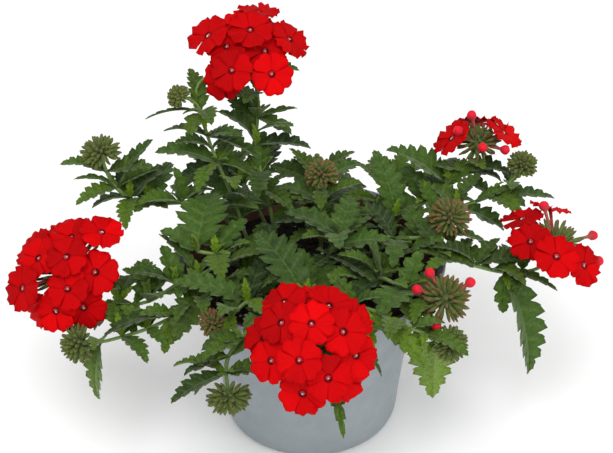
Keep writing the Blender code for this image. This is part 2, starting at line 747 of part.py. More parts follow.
def place_floret(space, name, head, petals, compass, lean, seed):
    """The first of a floret's turns that lies clear of other nodes and of the petals placed."""
    best = None
    for turn, tip in FLORET_TURNS:
        for stand in FLORET_STANDS:
            around = math.radians(compass + turn)
            down = math.radians(max(0, lean + tip))
            throat, slope = head.toward(around, down, head.reach, head.rise)
            throat += slope * stand * MM
            root = head.middle + (throat - head.middle).normalized() * 0.4 * head.core_rise
            facing = (slope + FACE_LIFT * head.axis).normalized()
            spin = random.Random(seed).random() * 2 * math.pi
            make = (throat, facing, root, spin)
            if not space.free(name, floret(*make, random.Random(seed), CLEAR)):
                continue
            best = best or make
            flat = floret(*make, random.Random(seed), 0.5 * CLEAR, tubed=False)
            if petals.free("", flat):
                petals.add(name, flat)
                return floret(*make, random.Random(seed))
    return floret(*best, random.Random(seed)) if best else None


def head_shapes(space, name, head, seed):
    """Every shape of a head: its core with the calyces, florets and buds, clear of other nodes."""
    shapes = [core(space, name, head)]
    petals = Space()
    for i, (compass, lean) in enumerate(head.florets):
        shape = place_floret(space, name, head, petals, compass, lean, seed + i)
        if shape:
            shapes.append(shape)
    for compass, lean in head.buds:
        tip, _ = head.toward(math.radians(compass), math.radians(lean), head.reach + BUD_REACH,
                             head.rise + BUD_RISE)
        if space.free(name, bud(head.middle, tip, CLEAR)):
            shapes.append(bud(head.middle, tip))
    return shapes


def keep_one_body(item):
    """Fill hollows sealed by the fusing, drop loose scraps, and say whether one closed body is left."""
    shape = bmesh.new()
    shape.from_mesh(item.data)
    bmesh.ops.remove_doubles(shape, verts=shape.verts, dist=WELD)
    bmesh.ops.triangulate(shape, faces=shape.faces)
    unseen = set(shape.faces)
    groups = []
    while unseen:
        group = []
        stack = [unseen.pop()]
        while stack:
            face = stack.pop()
            group.append(face)
            for edge in face.edges:
                for other in edge.link_faces:
                    if other in unseen:
                        unseen.discard(other)
                        stack.append(other)
        groups.append(group)
    groups.sort(key=signed_volume, reverse=True)
    spare = [face for group in groups[1:] for face in group]
    bmesh.ops.delete(shape, geom=spare, context="FACES")
    closed = all(edge.is_manifold for edge in shape.edges)
    shape.to_mesh(item.data)
    shape.free()
    return closed


def signed_volume(faces):
    """Volume inside triangles that point out; a hollow's is negative."""
    total = 0.0
    for face in faces:
        a, b, c = (vertex.co for vertex in face.verts)
        total += a.dot(b.cross(c)) / 6
    return total


def fuse(name, shapes, finish):
    """Join a node's shapes in one solid."""
    item = mesh_object(name, *shapes[0])
    join(item, "UNION", shapes[1:])
    item.data.materials.clear()
    item.data.materials.append(finish)


def hole(middle, radius, bottom, top):
    """A plain upright hole's shape."""
    outline = ((0.0, bottom), (radius, bottom), (radius, top), (0.0, top))
    return turned(outline, HOLE_SIDES, middle)


def make_pots(space):
    """The cover pot, the nursery pot and the soil with a hole for each shoot."""
    grey = make_material("grey_cover_pot", (0.27, 0.31, 0.33), 0.55)
    brown = make_material("brown_nursery_pot", (0.16, 0.07, 0.04), 0.5)
    peat = make_material("dark_potting_soil", (0.012, 0.009, 0.007), 0.95)
    make_cup("cover_pot", pot_outline(), POT_SIDES, grey)
    liner = make_cup("nursery_pot", liner_outline(), LINER_SIDES, brown)
    join(liner, "DIFFERENCE", [hole((DRAIN_PLACE * math.cos(angle), DRAIN_PLACE * math.sin(angle)),
                                    DRAIN_RADIUS, 0.0, 2 * POT_WALL + LINER_WALL + 3 * GAP)
                               for angle in (0.6, 2.7, 4.8)])
    soil = mesh_object("potting_soil", *turned(soil_outline(), SOIL_SIDES), peat)
    join(soil, "DIFFERENCE", [hole((shoot.route[0][0] * MM, shoot.route[0][1] * MM), HOLE_RADIUS,
                                   SOIL_TOP - HOLE_DEPTH, SOIL_TOP + HOLE_DEPTH)
                              for shoot in SHOOTS.values()])
    space.add("cover_pot", turned(pot_outline(), POT_SIDES))
    space.add("nursery_pot", turned(liner_outline(), LINER_SIDES))


HEADS = {**BLOOMS, **BUD_HEADS}


def main():
    """Build every piece: pots first, then stems, heads and leaves, each clear of the last."""
    clear_scene()
    space = Space()
    make_pots(space)
    shapes = {}
    for name, shoot in SHOOTS.items():
        shapes[name] = [stem(shoot)]
        space.add(name, stem(shoot, CLEAR))
        if shoot.side:
            shapes[name].append(side_stem(shoot))
            space.add(name, side_stem(shoot, CLEAR))
    for number, (name, head) in enumerate(HEADS.items()):
        shapes[name] = head_shapes(space, name, head, 100 * number)
        for shape in shapes[name]:
            space.add(name, shape)
    space.add("potting_soil", turned(soil_outline(), SOIL_SIDES))
    for number, (name, shoot) in enumerate(SHOOTS.items()):
        route = stem_route(shoot)
        near = Space()
        near.add(name, stem(shoot))
        for i, row in enumerate(shoot.leaves):
            shape = place_leaf(space, name, near, route, row, 1000 + 50 * number + i)
            if shape:
                shapes[name].append(shape)
                space.add(name, shape)
    finishes = {
        "shoot": make_material("green_leaf", (0.045, 0.10, 0.025), 0.6),
        "bloom": make_material("red_petal", (0.75, 0.0, 0.003), 0.6),
        "buds": make_material("olive_calyx", (0.10, 0.11, 0.025), 0.7),
    }
    for name, parts in shapes.items():
        fuse(name, parts, finishes[name.split("_")[0]])


main()
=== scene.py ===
import logging
import math
import random
from dataclasses import dataclass, field
from enum import Enum

import bpy
from mathutils import Matrix, Vector, noise
from mathutils.bvhtree import BVHTree
from mathutils.kdtree import KDTree


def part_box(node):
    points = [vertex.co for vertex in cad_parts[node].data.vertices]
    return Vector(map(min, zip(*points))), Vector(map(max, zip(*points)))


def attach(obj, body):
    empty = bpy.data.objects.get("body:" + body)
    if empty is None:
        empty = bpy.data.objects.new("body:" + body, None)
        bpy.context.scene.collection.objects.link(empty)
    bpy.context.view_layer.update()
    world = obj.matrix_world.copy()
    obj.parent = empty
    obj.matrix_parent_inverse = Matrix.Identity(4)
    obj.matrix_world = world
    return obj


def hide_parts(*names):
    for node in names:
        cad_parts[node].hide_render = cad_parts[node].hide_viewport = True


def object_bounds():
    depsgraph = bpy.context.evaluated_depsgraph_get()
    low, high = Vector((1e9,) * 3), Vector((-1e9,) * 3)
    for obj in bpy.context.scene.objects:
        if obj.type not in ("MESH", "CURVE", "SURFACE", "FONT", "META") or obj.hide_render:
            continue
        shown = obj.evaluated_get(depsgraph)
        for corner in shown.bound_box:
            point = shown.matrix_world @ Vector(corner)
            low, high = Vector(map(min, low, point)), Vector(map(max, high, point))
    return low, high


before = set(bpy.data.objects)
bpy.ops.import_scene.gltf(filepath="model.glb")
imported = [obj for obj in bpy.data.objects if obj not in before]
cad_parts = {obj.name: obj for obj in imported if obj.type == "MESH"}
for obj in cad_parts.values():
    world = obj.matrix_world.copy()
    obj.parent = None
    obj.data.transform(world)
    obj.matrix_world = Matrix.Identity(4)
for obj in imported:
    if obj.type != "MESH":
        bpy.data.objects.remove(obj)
CAD_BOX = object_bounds()

MM = 0.001
LOG = logging.getLogger("verbena")

# The solids' own driving dimensions, repeated so that the fine pieces lie where they are
GAP = 0.3 * MM
RIM_RADIUS = 65.0 * MM
POT_HEIGHT = 91.7 * MM
POT_WALL = 1.8 * MM
LINER_WALL = 1.0 * MM
SOIL_TOP = 80.0 * MM
HOLE_DEPTH = 12.0 * MM
COLLAR = 2.0 * MM
STEM_RADIUS = 1.25 * MM
LEAF_HALF_THICKNESS = 0.35 * MM
FLORET_RADIUS = 11.0 * MM
FLORET_CUP = 1.0 * MM
PETAL_HALF_THICKNESS = 0.325 * MM
THROAT_DEPTH = 0.5 * MM
CORE_RISE = 5.5 * MM
BUD_REACH = 5.0 * MM
BUD_RISE = 6.0 * MM
DRAIN_RADIUS = 4.0 * MM
DRAIN_PLACE = 20.0 * MM
PETALS = 5
GOLDEN_TURN = 137.508
GOLDEN_ANGLE = math.radians(GOLDEN_TURN)
# How much a floret turns its face up the head's axis, and where in the core its tube is rooted
FACE_LIFT = 0.8
CORE_SHARE = 0.4
# A fine repeat is at its solid's place when its mark lies this near to where a corner shows it
FIT = 0.03 * MM

Pair = tuple[float, float]
Triple = tuple[float, float, float]
Quad = tuple[float, float, float, float]
Face = tuple[int, ...]
Shape = tuple[list[Vector], list[Face], list[Triple]]


class Slot(Enum):
    """The record's material slots, listed by name; the fine pieces make materials of their own."""

    COVER_POT = "grey_cover_pot"
    NURSERY_POT = "brown_nursery_pot"
    SOIL = "dark_potting_soil"
    LEAF = "green_leaf"
    PETAL = "red_petal"
    CALYX = "olive_calyx"


@dataclass
class Shoot:
    """One leafy shoot as the solids have it, in millimetres and degrees.

    A leaf's row is the route point that it grows from, compass, rise, length and width.
    """

    route: tuple[Triple, ...]
    leaves: tuple[tuple[float, ...], ...]
    head: str = ""
    side: tuple[Triple, ...] = ()


@dataclass
class Head:
    """One flower head: its middle, its axis and the dome that its throats and tips lie on.

    A floret or bud is given by its compass direction and its angle from the axis, in degrees.
    """

    middle_mm: Triple
    axis_way: Triple
    reach_mm: float
    rise_mm: float
    florets: tuple[Pair, ...] = ()
    buds: tuple[Pair, ...] = ()
    middle: Vector = field(init=False)
    axis: Vector = field(init=False)
    reach: float = field(init=False)
    rise: float = field(init=False)

    def __post_init__(self) -> None:
        """Turn the table's millimetres into metres."""
        self.middle = Vector(self.middle_mm) * MM
        self.axis = Vector(self.axis_way).normalized()
        self.reach = self.reach_mm * MM
        self.rise = self.rise_mm * MM

    def toward(self, compass: float, lean: float, reach: float, rise: float) -> tuple[Vector, Vector]:
        """Find a point of a dome about the head's middle.

        Args:
            compass: direction round the axis, in radians.
            lean: angle from the axis, in radians.
            reach: the dome's radius across the axis, in metres.
            rise: the dome's height along the axis, in metres.

        Returns:
            The point and the dome's outward direction there.
        """
        first = Vector((1.0, 0.0, 0.0))
        first = (first - first.dot(self.axis) * self.axis).normalized()
        second = self.axis.cross(first)
        around = first * math.cos(compass) + second * math.sin(compass)
        place = self.middle + around * reach * math.sin(lean) + self.axis * rise * math.cos(lean)
        slope = around * rise * math.sin(lean) + self.axis * reach * math.cos(lean)
        return place, slope.normalized()


def spiral(count: int, widest: float, start: float) -> tuple[Pair, ...]:
    """Spread florets evenly over a dome, each a golden angle on from the last.

    Args:
        count: how many there are.
        widest: the outermost one's angle from the axis, in degrees.
        start: the first one's compass direction, in degrees.

    Returns:
        The compass direction and the angle from the axis of each, in degrees.
    """
    deep = 1 - math.cos(math.radians(widest))
    return tuple((start + GOLDEN_TURN * i, math.degrees(math.acos(1 - deep * (i + 0.5) / count)))
                 for i in range(count))


# Each head's middle in millimetres, its axis, and its dome's radius and height in millimetres
BLOOMS = {
    "bloom_top_left": Head((-31, 54, 172.5), (-0.05, -0.5, 0.86), 19, 13,
                           florets=spiral(11, 88, 60)),
    "bloom_left": Head((-113, -22, 97), (-0.3, -0.55, 0.78), 23.5, 16,
                       florets=spiral(13, 90, 20)),
    "bloom_front": Head((1, -80, 101), (0.0, -0.65, 0.76), 23.5, 16,
                        florets=spiral(14, 92, 100)),
    "bloom_upper_right": Head((83, 50, 124), (0.05, -0.1, 1.0), 14, 13, florets=(
        (185, 75), (5, 60), (90, 80)), buds=((150, 20), (-160, 50), (-40, 75), (-90, 60))),
    "bloom_right": Head((115, -8, 103), (0.3, -0.1, 0.95), 20, 13, florets=(
        (150, 75), (-150, 65), (-105, 60), (-55, 70), (95, 70)),
        buds=((125, 45), (25, 75), (-15, 85))),
}

# Heads that are still closed: calyces, and on one of them a few red buds
BUD_HEADS = {
    "buds_left": Head((-99, 14, 141), (-0.15, 0.0, 1.0), 10, 8),
    "buds_top_left": Head((-63, 37, 158), (-0.6, -0.1, 0.6), 6, 6),
    "buds_back": Head((5, 26, 121), (0.0, 0.0, 1.0), 9, 8),
    "buds_upper": Head((66, 2, 112), (0.1, -0.2, 1.0), 11, 9),
    "buds_right": Head((61, -42, 97), (0.1, -0.45, 0.9), 12, 11,
                       buds=((130, 60), (170, 75), (25, 55), (-110, 90))),
    "buds_far_right": Head((104, 39, 118), (0.2, 0.1, 1.0), 8, 8),
    "buds_front_right": Head((63, -57, 83), (0.3, -0.5, 0.2), 9, 8),
    "buds_front_left": Head((-37, -78, 70), (0.1, -0.6, -0.3), 11, 9),
    "buds_low_left": Head((-107, -48, 76), (-0.7, -0.6, 0.2), 10, 9),
    "buds_mid_left": Head((-45, -54, 92), (-0.2, -0.1, 1.0), 6, 9),
}

# Each shoot's route and its leaves; a head at its end, and one side stem, where it has them
SHOOTS = {
    "shoot_top": Shoot(
        ((-17, 24, 80), (-20, 22, 104), (-24, 29, 120), (-27, 38, 130), (-26, 46, 141),
         (-26, 50, 152)),
        ((4, -170, 50, 28, 13), (4, 10, 10, 20, 5), (4, -25, -15, 19, 11), (3, -5, 10, 27, 13),
         (3, 175, 45, 26, 13), (1, 35, 10, 22, 13), (2, 80, 0, 30, 15)),
        head="bloom_top_left"),
    "shoot_top_left": Shoot(
        ((-30, 16, 80), (-37, 20, 108), (-45, 28, 126), (-50, 34, 138), (-53, 38, 149),
         (-57, 39, 155)),
        ((2, -175, 15, 31, 16), (3, -15, -10, 28, 15), (4, -125, -50, 15, 12), (4, -165, 0, 27, 4),
         (2, -160, -25, 23, 14), (2, -10, -20, 20, 15), (1, 130, 10, 30, 15)),
        head="buds_top_left",
        side=((-50, 34, 138), (-55, 41, 152), (-54, 44, 161), (-47, 48, 165))),
    "shoot_left": Shoot(
        ((-38, 26, 80), (-44, 17, 106), (-54, 16, 111), (-63, 15, 112), (-78, 14, 112),
         (-87, 14, 115), (-93, 14, 121), (-97, 14, 130)),
        ((5, -155, 0, 19, 11), (6, -170, 20, 21, 5), (6, 20, 50, 30, 11), (5, 30, 30, 22, 17),
         (4, -115, 15, 14, 12), (3, -145, -10, 16, 8), (3, 130, 60, 19, 9),
         (4, 70, 15, 28, 14), (1, -140, -30, 15, 11)),
        head="buds_left"),
    "shoot_left_low": Shoot(
        ((-33, 3, 80), (-41, -18, 99), (-53, -24.5, 97), (-63, -26, 93), (-76, -28, 85),
         (-90, -28, 83), (-101, -26, 85)),
        ((4, 115, 50, 20, 13), (4, 20, 40, 17, 10), (3, 120, 35, 20, 12), (5, -165, -45, 18, 11),
         (2, 143, 12, 27, 8.5), (5, 80, 0, 24, 12), (5, -60, -20, 18, 10)),
        head="bloom_left"),
    "shoot_left_front": Shoot(
        ((-29, -10, 80), (-40, -33, 98), (-50, -39, 95.5), (-63, -43, 88), (-75, -46, 83),
         (-87, -47, 79), (-97, -47, 76)),
        ((3, -165, -10, 34, 16), (3, -110, -45, 18, 9), (2, -125, -40, 24, 18),
         (6, -132, -42, 32, 16), (4, 90, 30, 17, 9), (5, 70, -20, 20, 10)),
        head="buds_low_left"),
    "shoot_left_mid": Shoot(
        ((-21, -19, 80), (-29, -44, 97), (-36, -51, 95), (-43, -56, 87)),
        ((1, 170, 10, 36, 14), (2, -110, -55, 15, 7), (1, 75, 15, 29, 10)),
        head="buds_mid_left"),
    "shoot_front_left": Shoot(
        ((-13, -28, 80), (-23, -56, 97), (-31, -64, 92), (-37, -70, 86), (-38, -73, 79)),
        ((3, -175, -25, 22, 10), (4, -170, -35, 18, 9), (4, -153, -22, 30, 13), (4, -5, 5, 17, 8),
         (2, -165, -10, 19, 11)),
        head="buds_front_left"),
    "shoot_front": Shoot(
        ((-3, -20, 80), (-2, -45, 98), (0, -58, 97)),
        ((2, -45, -45, 35, 7), (2, -60, -65, 55, 9), (2, -25, -40, 40, 9), (1, 125, 20, 44, 21),
         (1, 95, 20, 34, 12)),
        head="bloom_front"),
    "shoot_centre": Shoot(
        ((7, 3, 80), (8, -3, 93), (11, -7, 102), (13, -10, 110)),
        ((2, 140, 25, 26, 15), (3, 75, 10, 28, 14), (2, -10, 15, 27, 17), (1, -55, 10, 38, 14),
         (1, -95, 10, 34, 13), (3, 160, 15, 28, 13), (3, -90, 20, 24, 13))),
    "shoot_back": Shoot(
        ((5, 21, 80), (5, 19, 98), (5, 22, 107)),
        ((1, -170, 5, 24, 14), (1, -10, 15, 26, 15), (2, 165, 5, 22, 13), (2, 20, 10, 24, 13),
        (1, 80, 0, 32, 15), (2, 125, -5, 28, 13)),
        head="buds_back"),
    "shoot_left_fan": Shoot(
        ((-23, 9, 80), (-35, -3, 96), (-45, -15, 103), (-53, -17, 106)),
        ((3, 80, 15, 37, 26), (2, 50, 20, 24, 12), (3, 165, -15, 20, 12), (2, -80, -5, 18, 11),
         (1, 120, 10, 26, 13))),
    "shoot_right_front": Shoot(
        ((19, -15, 80), (31, -25, 97), (43, -35, 97), (52, -38, 95), (59, -40, 91)),
        ((2, -95, -35, 26, 19), (2, 5, -15, 24, 14), (1, -170, 55, 22, 15), (2, 55, 45, 20, 12),
         (3, -75, -50, 17, 8), (1, -120, 10, 24, 12)),
        head="buds_right"),
    "shoot_front_right": Shoot(
        ((12, -30, 80), (24, -50, 98), (38, -56, 95), (51, -56, 88), (57, -54, 83)),
        ((4, -100, -62, 36, 24), (3, -135, -50, 13, 7), (1, -40, -45, 38, 13), (1, -70, -60, 30, 8),
         (3, 10, -20, 24, 5)),
        head="buds_front_right"),
    "shoot_right": Shoot(
        ((33, 0, 80), (47, -4, 97), (61, -9, 98), (78, -12, 94), (92, -13, 91), (108, -10, 91)),
        ((4, -45, -70, 55, 22), (3, 40, 30, 18, 11), (4, -20, -10, 26, 8), (2, -20, -40, 17, 10),
        (2, 125, 25, 20, 12), (4, -95, -65, 20, 11), (4, 80, -5, 24, 12)),
        head="bloom_right"),
    "shoot_right_back": Shoot(
        ((30, 19, 80), (42, 20, 98), (56, 30, 102), (68, 40, 105), (76, 46, 109)),
        ((3, 170, 30, 36, 21), (1, 115, 45, 37, 17), (2, -155, -10, 26, 18), (4, -10, 5, 24, 15),
         (4, -160, 25, 18, 10), (4, 10, 20, 22, 11), (2, 120, 30, 22, 13), (3, 80, -5, 32, 15)),
        head="bloom_upper_right"),
    "shoot_right_up": Shoot(
        ((24, 8, 80), (40, 1, 99), (53, 0, 102), (62, 1, 103)),
        ((2, 110, 35, 20, 13), (3, -5, -10, 22, 13), (1, -95, 10, 29, 13), (2, -60, -30, 16, 11)),
        head="buds_upper"),
    "shoot_far_right": Shoot(
        ((37, 11, 80), (53, 15.5, 99.5), (72, 24, 103), (88, 31, 105), (98, 36, 109)),
        ((3, 5, 5, 33, 13), (2, -25, -15, 25, 18), (3, -35, -15, 20, 14), (2, 150, 25, 18, 12),
         (4, 80, 0, 24, 12), (1, -42, -5, 22, 12)),
        head="buds_far_right"),
    "shoot_back_left": Shoot(
        ((-22, 36, 80), (-34, 55, 97), (-42, 68, 96), (-48, 79, 88), (-52, 87, 79)),
        ((1, 160, 0, 32, 15), (1, 60, 5, 28, 14), (2, 175, -25, 34, 16), (3, 75, -35, 32, 15),
         (4, 130, -60, 30, 14))),
    "shoot_back_mid": Shoot(
        ((2, 36, 80), (3, 55, 97), (4, 69, 95), (6, 80, 86), (8, 88, 76)),
        ((1, 150, 5, 28, 14), (1, 35, 5, 28, 14), (2, 150, -30, 32, 15), (3, 30, -35, 32, 15),
         (4, 90, -65, 30, 14))),
    "shoot_back_right": Shoot(
        ((24, 33, 80), (38, 50, 97), (47, 62, 95), (54, 71, 86), (59, 77, 76)),
        ((1, 100, 5, 28, 14), (1, 0, 0, 28, 14), (2, 110, -30, 32, 15), (3, 5, -30, 32, 15),
         (4, 60, -60, 28, 13))),
}

HEADS = {**BLOOMS, **BUD_HEADS}

# How reddish-brown each head's tips are, from 0, green, to 1
HEAD_TINTS = {"buds_right": 0.8, "buds_upper": 1.0, "buds_back": 0.7, "buds_mid_left": 0.8,
              "bloom_upper_right": 0.8, "bloom_right": 0.5}

# How pale and yellow-green each shoot's hanging leaves are, from 0 to 1
SHOOT_PALENESS = {"shoot_front_right": 1.0, "shoot_left_front": 0.8, "shoot_front_left": 0.9,
                  "shoot_right": 0.0, "shoot_front": 0.15}

# The turns that the solids tried, in the same order: a fine repeat is looked for at each of them.
# A leaf's are degrees of compass and of rise, and a share of its size; a floret's are degrees of
# compass and of lean, and its stands are millimetres out from the dome
FLORET_STANDS = (0.0, 1.4, -1.4, 2.8, -2.8)
LEAF_TURNS = [(0, 0, 1.0)] + [
    (turn * side, lift * tilt, share)
    for share in (1.0, 0.85, 0.7)
    for turn in (0, 12, 24, 36)
    for lift in (0, 10, 20, 30, 40)
    for side in (1, -1)
    for tilt in (1, -1)
    if turn or lift
]
FLORET_TURNS = [(0, 0)] + [
    (turn * side, lean * tilt)
    for lean in (0, 6, 12, 18, 24)
    for turn in (0, 6, 12, 18)
    for side in (1, -1)
    for tilt in (-1, 1)
    if turn or lean
]


def srgb(code: str) -> Quad:
    """Turn an sRGB hex colour to linear.

    Args:
        code: six hex digits after a hash sign.

    Returns:
        The linear colour with an alpha of 1.
    """
    shares = [int(code[i:i + 2], 16) / 255 for i in (1, 3, 5)]
    return (*(s / 12.92 if s <= 0.04045 else ((s + 0.055) / 1.055) ** 2.4 for s in shares), 1.0)


def drawn(luck: random.Random, reach: Pair) -> float:
    """A random number: the least that it may be, and how much more at most."""
    return reach[0] + reach[1] * luck.random()


def add(tree: bpy.types.NodeTree, kind: str, inputs: dict | None = None,
        out: int | str = 0) -> bpy.types.NodeSocket:
    """Add one shader node.

    Args:
        tree: the material's node tree.
        kind: the node's type name.
        inputs: the node's own properties or its input sockets, by name or number, each with its
            value, a colour in sRGB hex or the output socket that feeds it.
        out: the name or number of the output socket that is wanted.

    Returns:
        That output socket.
    """
    node = tree.nodes.new(kind)
    for key, value in (inputs or {}).items():
        if isinstance(value, bpy.types.NodeSocket):
            tree.links.new(value, node.inputs[key])
        elif isinstance(key, str) and hasattr(node, key):
            setattr(node, key, value)
        else:
            node.inputs[key].default_value = srgb(value) if isinstance(value, str) else value
    return node.outputs[out]


def new_finish(name: str, settings: dict) -> tuple[bpy.types.Material, bpy.types.NodeTree]:
    """Start a material whose shader's constant sockets are set.

    Args:
        name: the material's name.
        settings: shader sockets and their values, colours in sRGB hex.

    Returns:
        The material and its node tree.
    """
    finish = bpy.data.materials.new(name)
    finish.use_nodes = True
    shader = finish.node_tree.nodes["Principled BSDF"]
    for key, value in settings.items():
        shader.inputs[key].default_value = srgb(value) if isinstance(value, str) else value
    return finish, finish.node_tree


def feed(tree: bpy.types.NodeTree, sources: dict[str, bpy.types.NodeSocket]) -> None:
    """Link output sockets to the material's shader.

    Args:
        tree: the material's node tree.
        sources: the shader's sockets, by name, and what feeds them.
    """
    shader = tree.nodes["Principled BSDF"]
    for key, source in sources.items():
        tree.links.new(source, shader.inputs[key])


# Sockets of a colour mix: factor, first and second colour, and its result
MIX_SHARE, MIX_FIRST, MIX_SECOND, MIX_OUT = 0, 6, 7, 2
# Sockets of a range: its value, what it runs from and what it is turned to
VALUE, FROM_LOW, FROM_HIGH, TO_LOW, TO_HIGH = range(5)


@dataclass(frozen=True)
class MouldedPolypropylene:
    """Injection-moulded polypropylene, matt: an even colour with a faint orange peel and scuffs."""

    name: str
    colour: str
    scuffed: str
    roughness: float
    grain_mm: float = 1.2
    grain_depth: float = 0.15 * MM
    scuff_mm: float = 14.0
    polish: float = 0.07
    wear: float = 0.09

    def make(self) -> bpy.types.Material:
        """Build the material.

        Returns:
            The new material.
        """
        finish, tree = new_finish(self.name, {"IOR": 1.49, "Specular IOR Level": 0.45})
        place = add(tree, "ShaderNodeTexCoord", out="Object")
        cloud = add(tree, "ShaderNodeTexNoise", {"Scale": 1 / (self.scuff_mm * MM), "Detail": 6.0,
                                                 "Roughness": 0.65, "Vector": place})
        peel = add(tree, "ShaderNodeTexNoise", {"Scale": 1 / (self.grain_mm * MM), "Detail": 3.0,
                                                "Vector": place})
        patch = add(tree, "ShaderNodeMapRange", {FROM_LOW: 0.35, FROM_HIGH: 0.75, VALUE: cloud})
        tint = add(tree, "ShaderNodeMix", {"data_type": "RGBA", MIX_FIRST: self.colour,
                                           MIX_SECOND: self.scuffed, MIX_SHARE: patch}, MIX_OUT)
        rough = add(tree, "ShaderNodeMapRange", {FROM_LOW: 0.3, FROM_HIGH: 0.7,
                                                 TO_LOW: self.roughness - self.polish,
                                                 TO_HIGH: self.roughness + self.wear, VALUE: cloud})
        bump = add(tree, "ShaderNodeBump", {"Strength": 0.25, "Distance": self.grain_depth,
                                            "Height": peel})
        feed(tree, {"Base Color": tint, "Roughness": rough, "Normal": bump})
        return finish


@dataclass(frozen=True)
class DampPeat:
    """Damp milled peat: almost black crumbs with brown fibres, dull all over."""

    name: str
    dark: str
    fibre: str
    crumb_mm: float = 1.1
    crumb_depth: float = 0.5 * MM
    crumbs_a_patch: float = 3.0

    def make(self) -> bpy.types.Material:
        """Build the material.

        Returns:
            The new material.
        """
        finish, tree = new_finish(self.name, {"IOR": 1.4, "Roughness": 0.92})
        place = add(tree, "ShaderNodeTexCoord", out="Object")
        patch_mm = self.crumbs_a_patch * self.crumb_mm
        crumb = add(tree, "ShaderNodeTexVoronoi", {"Scale": 1 / (self.crumb_mm * MM),
                                                   "Vector": place})
        cloud = add(tree, "ShaderNodeTexNoise", {"Scale": 1 / (patch_mm * MM), "Detail": 8.0,
                                                 "Vector": place})
        share = add(tree, "ShaderNodeMapRange", {FROM_LOW: 0.5, FROM_HIGH: 0.8, VALUE: cloud})
        tint = add(tree, "ShaderNodeMix", {"data_type": "RGBA", MIX_FIRST: self.dark,
                                           MIX_SECOND: self.fibre, MIX_SHARE: share}, MIX_OUT)
        bump = add(tree, "ShaderNodeBump", {"Strength": 0.8, "Distance": self.crumb_depth,
                                            "Height": crumb})
        feed(tree, {"Base Color": tint, "Normal": bump})
        return finish


@dataclass(frozen=True)
class LeafBlade:
    """A living leaf, wrinkled between its veins and covered in short hairs that grey it a little; light
    and shade are painted on the wrinkles.
    """

    name: str = "rough_hairy_leaf"
    old: str = "#162a06"
    grown: str = "#3a541c"
    young: str = "#7c9a2a"
    vein: str = "#728654"
    under: str = "#64784a"
    hair_gloss: str = "#d6e2c4"
    wrinkle_mm: float = 1.3
    wrinkle_depth: float = 0.5 * MM
    hair_mm: float = 0.45
    hair_depth: float = 0.15 * MM
    mottle_mm: float = 7.0
    vein_share: float = 0.3
    under_share: float = 0.6

    def make(self) -> bpy.types.Material:
        """Build the material: marks on the mesh say how old a leaf is and where its veins run.

        Returns:
            The new material.
        """
        finish, tree = new_finish(self.name, {
            "IOR": 1.42, "Specular IOR Level": 0.35, "Sheen Weight": 0.22, "Sheen Roughness": 0.45,
            "Sheen Tint": self.hair_gloss})
        place = add(tree, "ShaderNodeTexCoord", out="Object")
        mark = add(tree, "ShaderNodeAttribute", {"attribute_name": "tone"}, "Color")
        age = add(tree, "ShaderNodeSeparateColor", {0: mark})
        luck, line = age.node.outputs[1], age.node.outputs[2]
        mottle = add(tree, "ShaderNodeTexNoise", {"Scale": 1 / (self.mottle_mm * MM), "Detail": 5.0,
                                                  "Vector": place})
        wrinkle = add(tree, "ShaderNodeTexVoronoi", {"feature": "SMOOTH_F1",
                                                     "Scale": 1 / (self.wrinkle_mm * MM),
                                                     "Vector": place})
        hair = add(tree, "ShaderNodeTexNoise", {"Scale": 1 / (self.hair_mm * MM), "Detail": 4.0,
                                                "Vector": place})
        blend = add(tree, "ShaderNodeMath", {"operation": "ADD", 0: mottle, 1: luck})
        share = add(tree, "ShaderNodeMapRange", {FROM_LOW: 0.5, FROM_HIGH: 1.2, VALUE: blend})
        green = add(tree, "ShaderNodeMix", {"data_type": "RGBA", MIX_FIRST: self.old,
                                            MIX_SECOND: self.grown, MIX_SHARE: share}, MIX_OUT)
        aged = add(tree, "ShaderNodeMix", {"data_type": "RGBA", MIX_FIRST: green,
                                           MIX_SECOND: self.young, MIX_SHARE: age}, MIX_OUT)
        lines = add(tree, "ShaderNodeMath", {"operation": "MULTIPLY", 0: line, 1: self.vein_share})
        veined = add(tree, "ShaderNodeMix", {"data_type": "RGBA", MIX_FIRST: aged,
                                             MIX_SECOND: self.vein, MIX_SHARE: lines}, MIX_OUT)
        below = add(tree, "ShaderNodeMath", {"operation": "MULTIPLY", 0: mark.node.outputs["Alpha"],
                                             1: self.under_share})
        whole = add(tree, "ShaderNodeMix", {"data_type": "RGBA", MIX_FIRST: veined,
                                            MIX_SECOND: self.under, MIX_SHARE: below}, MIX_OUT)
        # Painted light and shade on the wrinkles: each wrinkle cell's middle is painted lighter and its
        # edges darker, through the colour's value
        pucker = add(tree, "ShaderNodeMapRange", {FROM_LOW: 0.1, FROM_HIGH: 0.7, TO_LOW: 1.16,
                                                  TO_HIGH: 0.72, VALUE: wrinkle})
        toned = add(tree, "ShaderNodeHueSaturation", {"Saturation": 1.12, "Value": pucker,
                                                      "Color": whole})
        rough = add(tree, "ShaderNodeMapRange", {TO_LOW: 0.5, TO_HIGH: 0.72, VALUE: hair})
        low = add(tree, "ShaderNodeBump", {"Strength": 0.8, "Distance": self.wrinkle_depth,
                                           "Height": wrinkle})
        high = add(tree, "ShaderNodeBump", {"Strength": 0.35, "Distance": self.hair_depth,
                                            "Height": hair, "Normal": low})
        feed(tree, {"Base Color": toned, "Roughness": rough, "Normal": high})
        return finish


